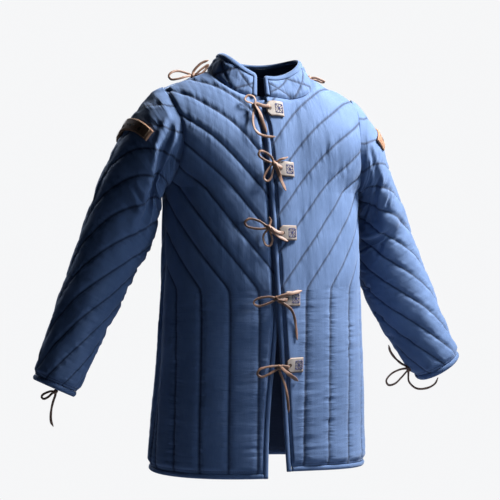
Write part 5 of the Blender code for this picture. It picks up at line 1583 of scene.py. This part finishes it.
def make_free_laces():
    for name, centre in FREE_KNOTS.items():
        out = np.array((0.0, -0.94, 0.34) if "shoulder" in name else (0.0, -1.0, 0.0))
        laces = []
        for k, (lace, route) in enumerate(FREE_LACES.items()):
            tied = lace.endswith(("loop", "ring", "leaf")) and lace != "cuff_left_low_loop"
            if lace.startswith(name[:-4]):
                laces.append((k, lace, np.array(route) / 1000, "object" if tied else "bare"))
        make_knot("scene_" + name, name, np.array(centre) / 1000, np.array((1.0, 0, 0)), out,
                  0.5 if "right" in name else -0.4, laces)


make_ties()
make_free_laces()
for name in ("left", "right"):
    make_front(name)
    make_sleeve(name)
    make_edge_band(name)
    make_hem_band(name)
    make_cuff_band(name)
    make_patch(name)
make_back()
make_hem_band("back")
make_collar()
for name in TABS:
    make_tab(name)


# ------------------------------------------------------------------ light and floor
PALE = (0.92, 0.925, 0.935, 1)      # what the camera sees behind the coat and under it


def make_floor():
    """A round floor, pale to the camera alone so that it throws little light up at the skirt."""
    material, shader, _ = new_material("studio_floor", Roughness=0.9, Emission_Color=PALE,
                                       Base_Color=(0.20, 0.23, 0.29, 1))
    seen = Value(node(shader.id_data, "ShaderNodeLightPath").outputs["Is Camera Ray"])
    link(seen * 0.60, shader.inputs["Emission Strength"])
    turn = np.linspace(0, 2 * math.pi, 96, endpoint=False)
    height = turn * 0 + CAD_BOX[0][2] - 0.55
    form = np.stack((2.2 * np.cos(turn), 2.2 * np.sin(turn), height), -1)
    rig.stage(make_piece("studio_floor", form, [tuple(range(96))], material))


def add_light(name, place, aim, size, power, colour=(1, 1, 1)):
    light = bpy.data.lights.new(name, "AREA")
    light.shape, light.size, light.energy, light.color = "DISK", size, power, colour
    thing = bpy.data.objects.new(name, light)
    thing.location = place
    thing.rotation_euler = (Vector(aim) - Vector(place)).to_track_quat("-Z", "Y").to_euler()
    bpy.context.scene.collection.objects.link(thing)


make_floor()
add_light("key", (1.33, -0.44, 1.34), (0, -0.05, -0.25), 0.60, 186)
add_light("side", (1.60, -1.75, 0.60), (-0.15, -0.05, -0.15), 0.8, 24.0, (0.66, 0.80, 1.0))
add_light("back", (-0.2, 3.1, 1.2), (0, 0, -0.35), 1.8, 85, (0.80, 0.88, 1.0))
add_light("fill", (-0.6, -3.0, 0.9), (0, 0, -0.3), 1.6, 2.4, (0.50, 0.70, 1.0))
# a weak blue light from all round, and the pale ground for the camera
world = bpy.data.worlds.new("studio")
bpy.context.scene.world = world
world.use_nodes = True
plain = world.node_tree.nodes["Background"]
pale = world.node_tree.nodes.new("ShaderNodeBackground")
for ground, colour, strength in ((plain, (0.45, 0.66, 1.0, 1), 0.006), (pale, PALE, 1.0)):
    ground.inputs["Color"].default_value, ground.inputs["Strength"].default_value = colour, strength
mixer = world.node_tree.nodes.new("ShaderNodeMixShader")
seen = node(world.node_tree, "ShaderNodeLightPath").outputs["Is Camera Ray"]
for spot, source in enumerate((seen, plain.outputs[0], pale.outputs[0])):
    link(Value(source), mixer.inputs[spot])
link(Value(mixer.outputs[0]), world.node_tree.nodes["World Output"].inputs[0])
bpy.context.scene.view_settings.view_transform = "Standard"

with open("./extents.json", "w") as out_file:
    json.dump({"cad": [list(c) for c in CAD_BOX], "visual": [list(c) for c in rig.bounds()]}, out_file)
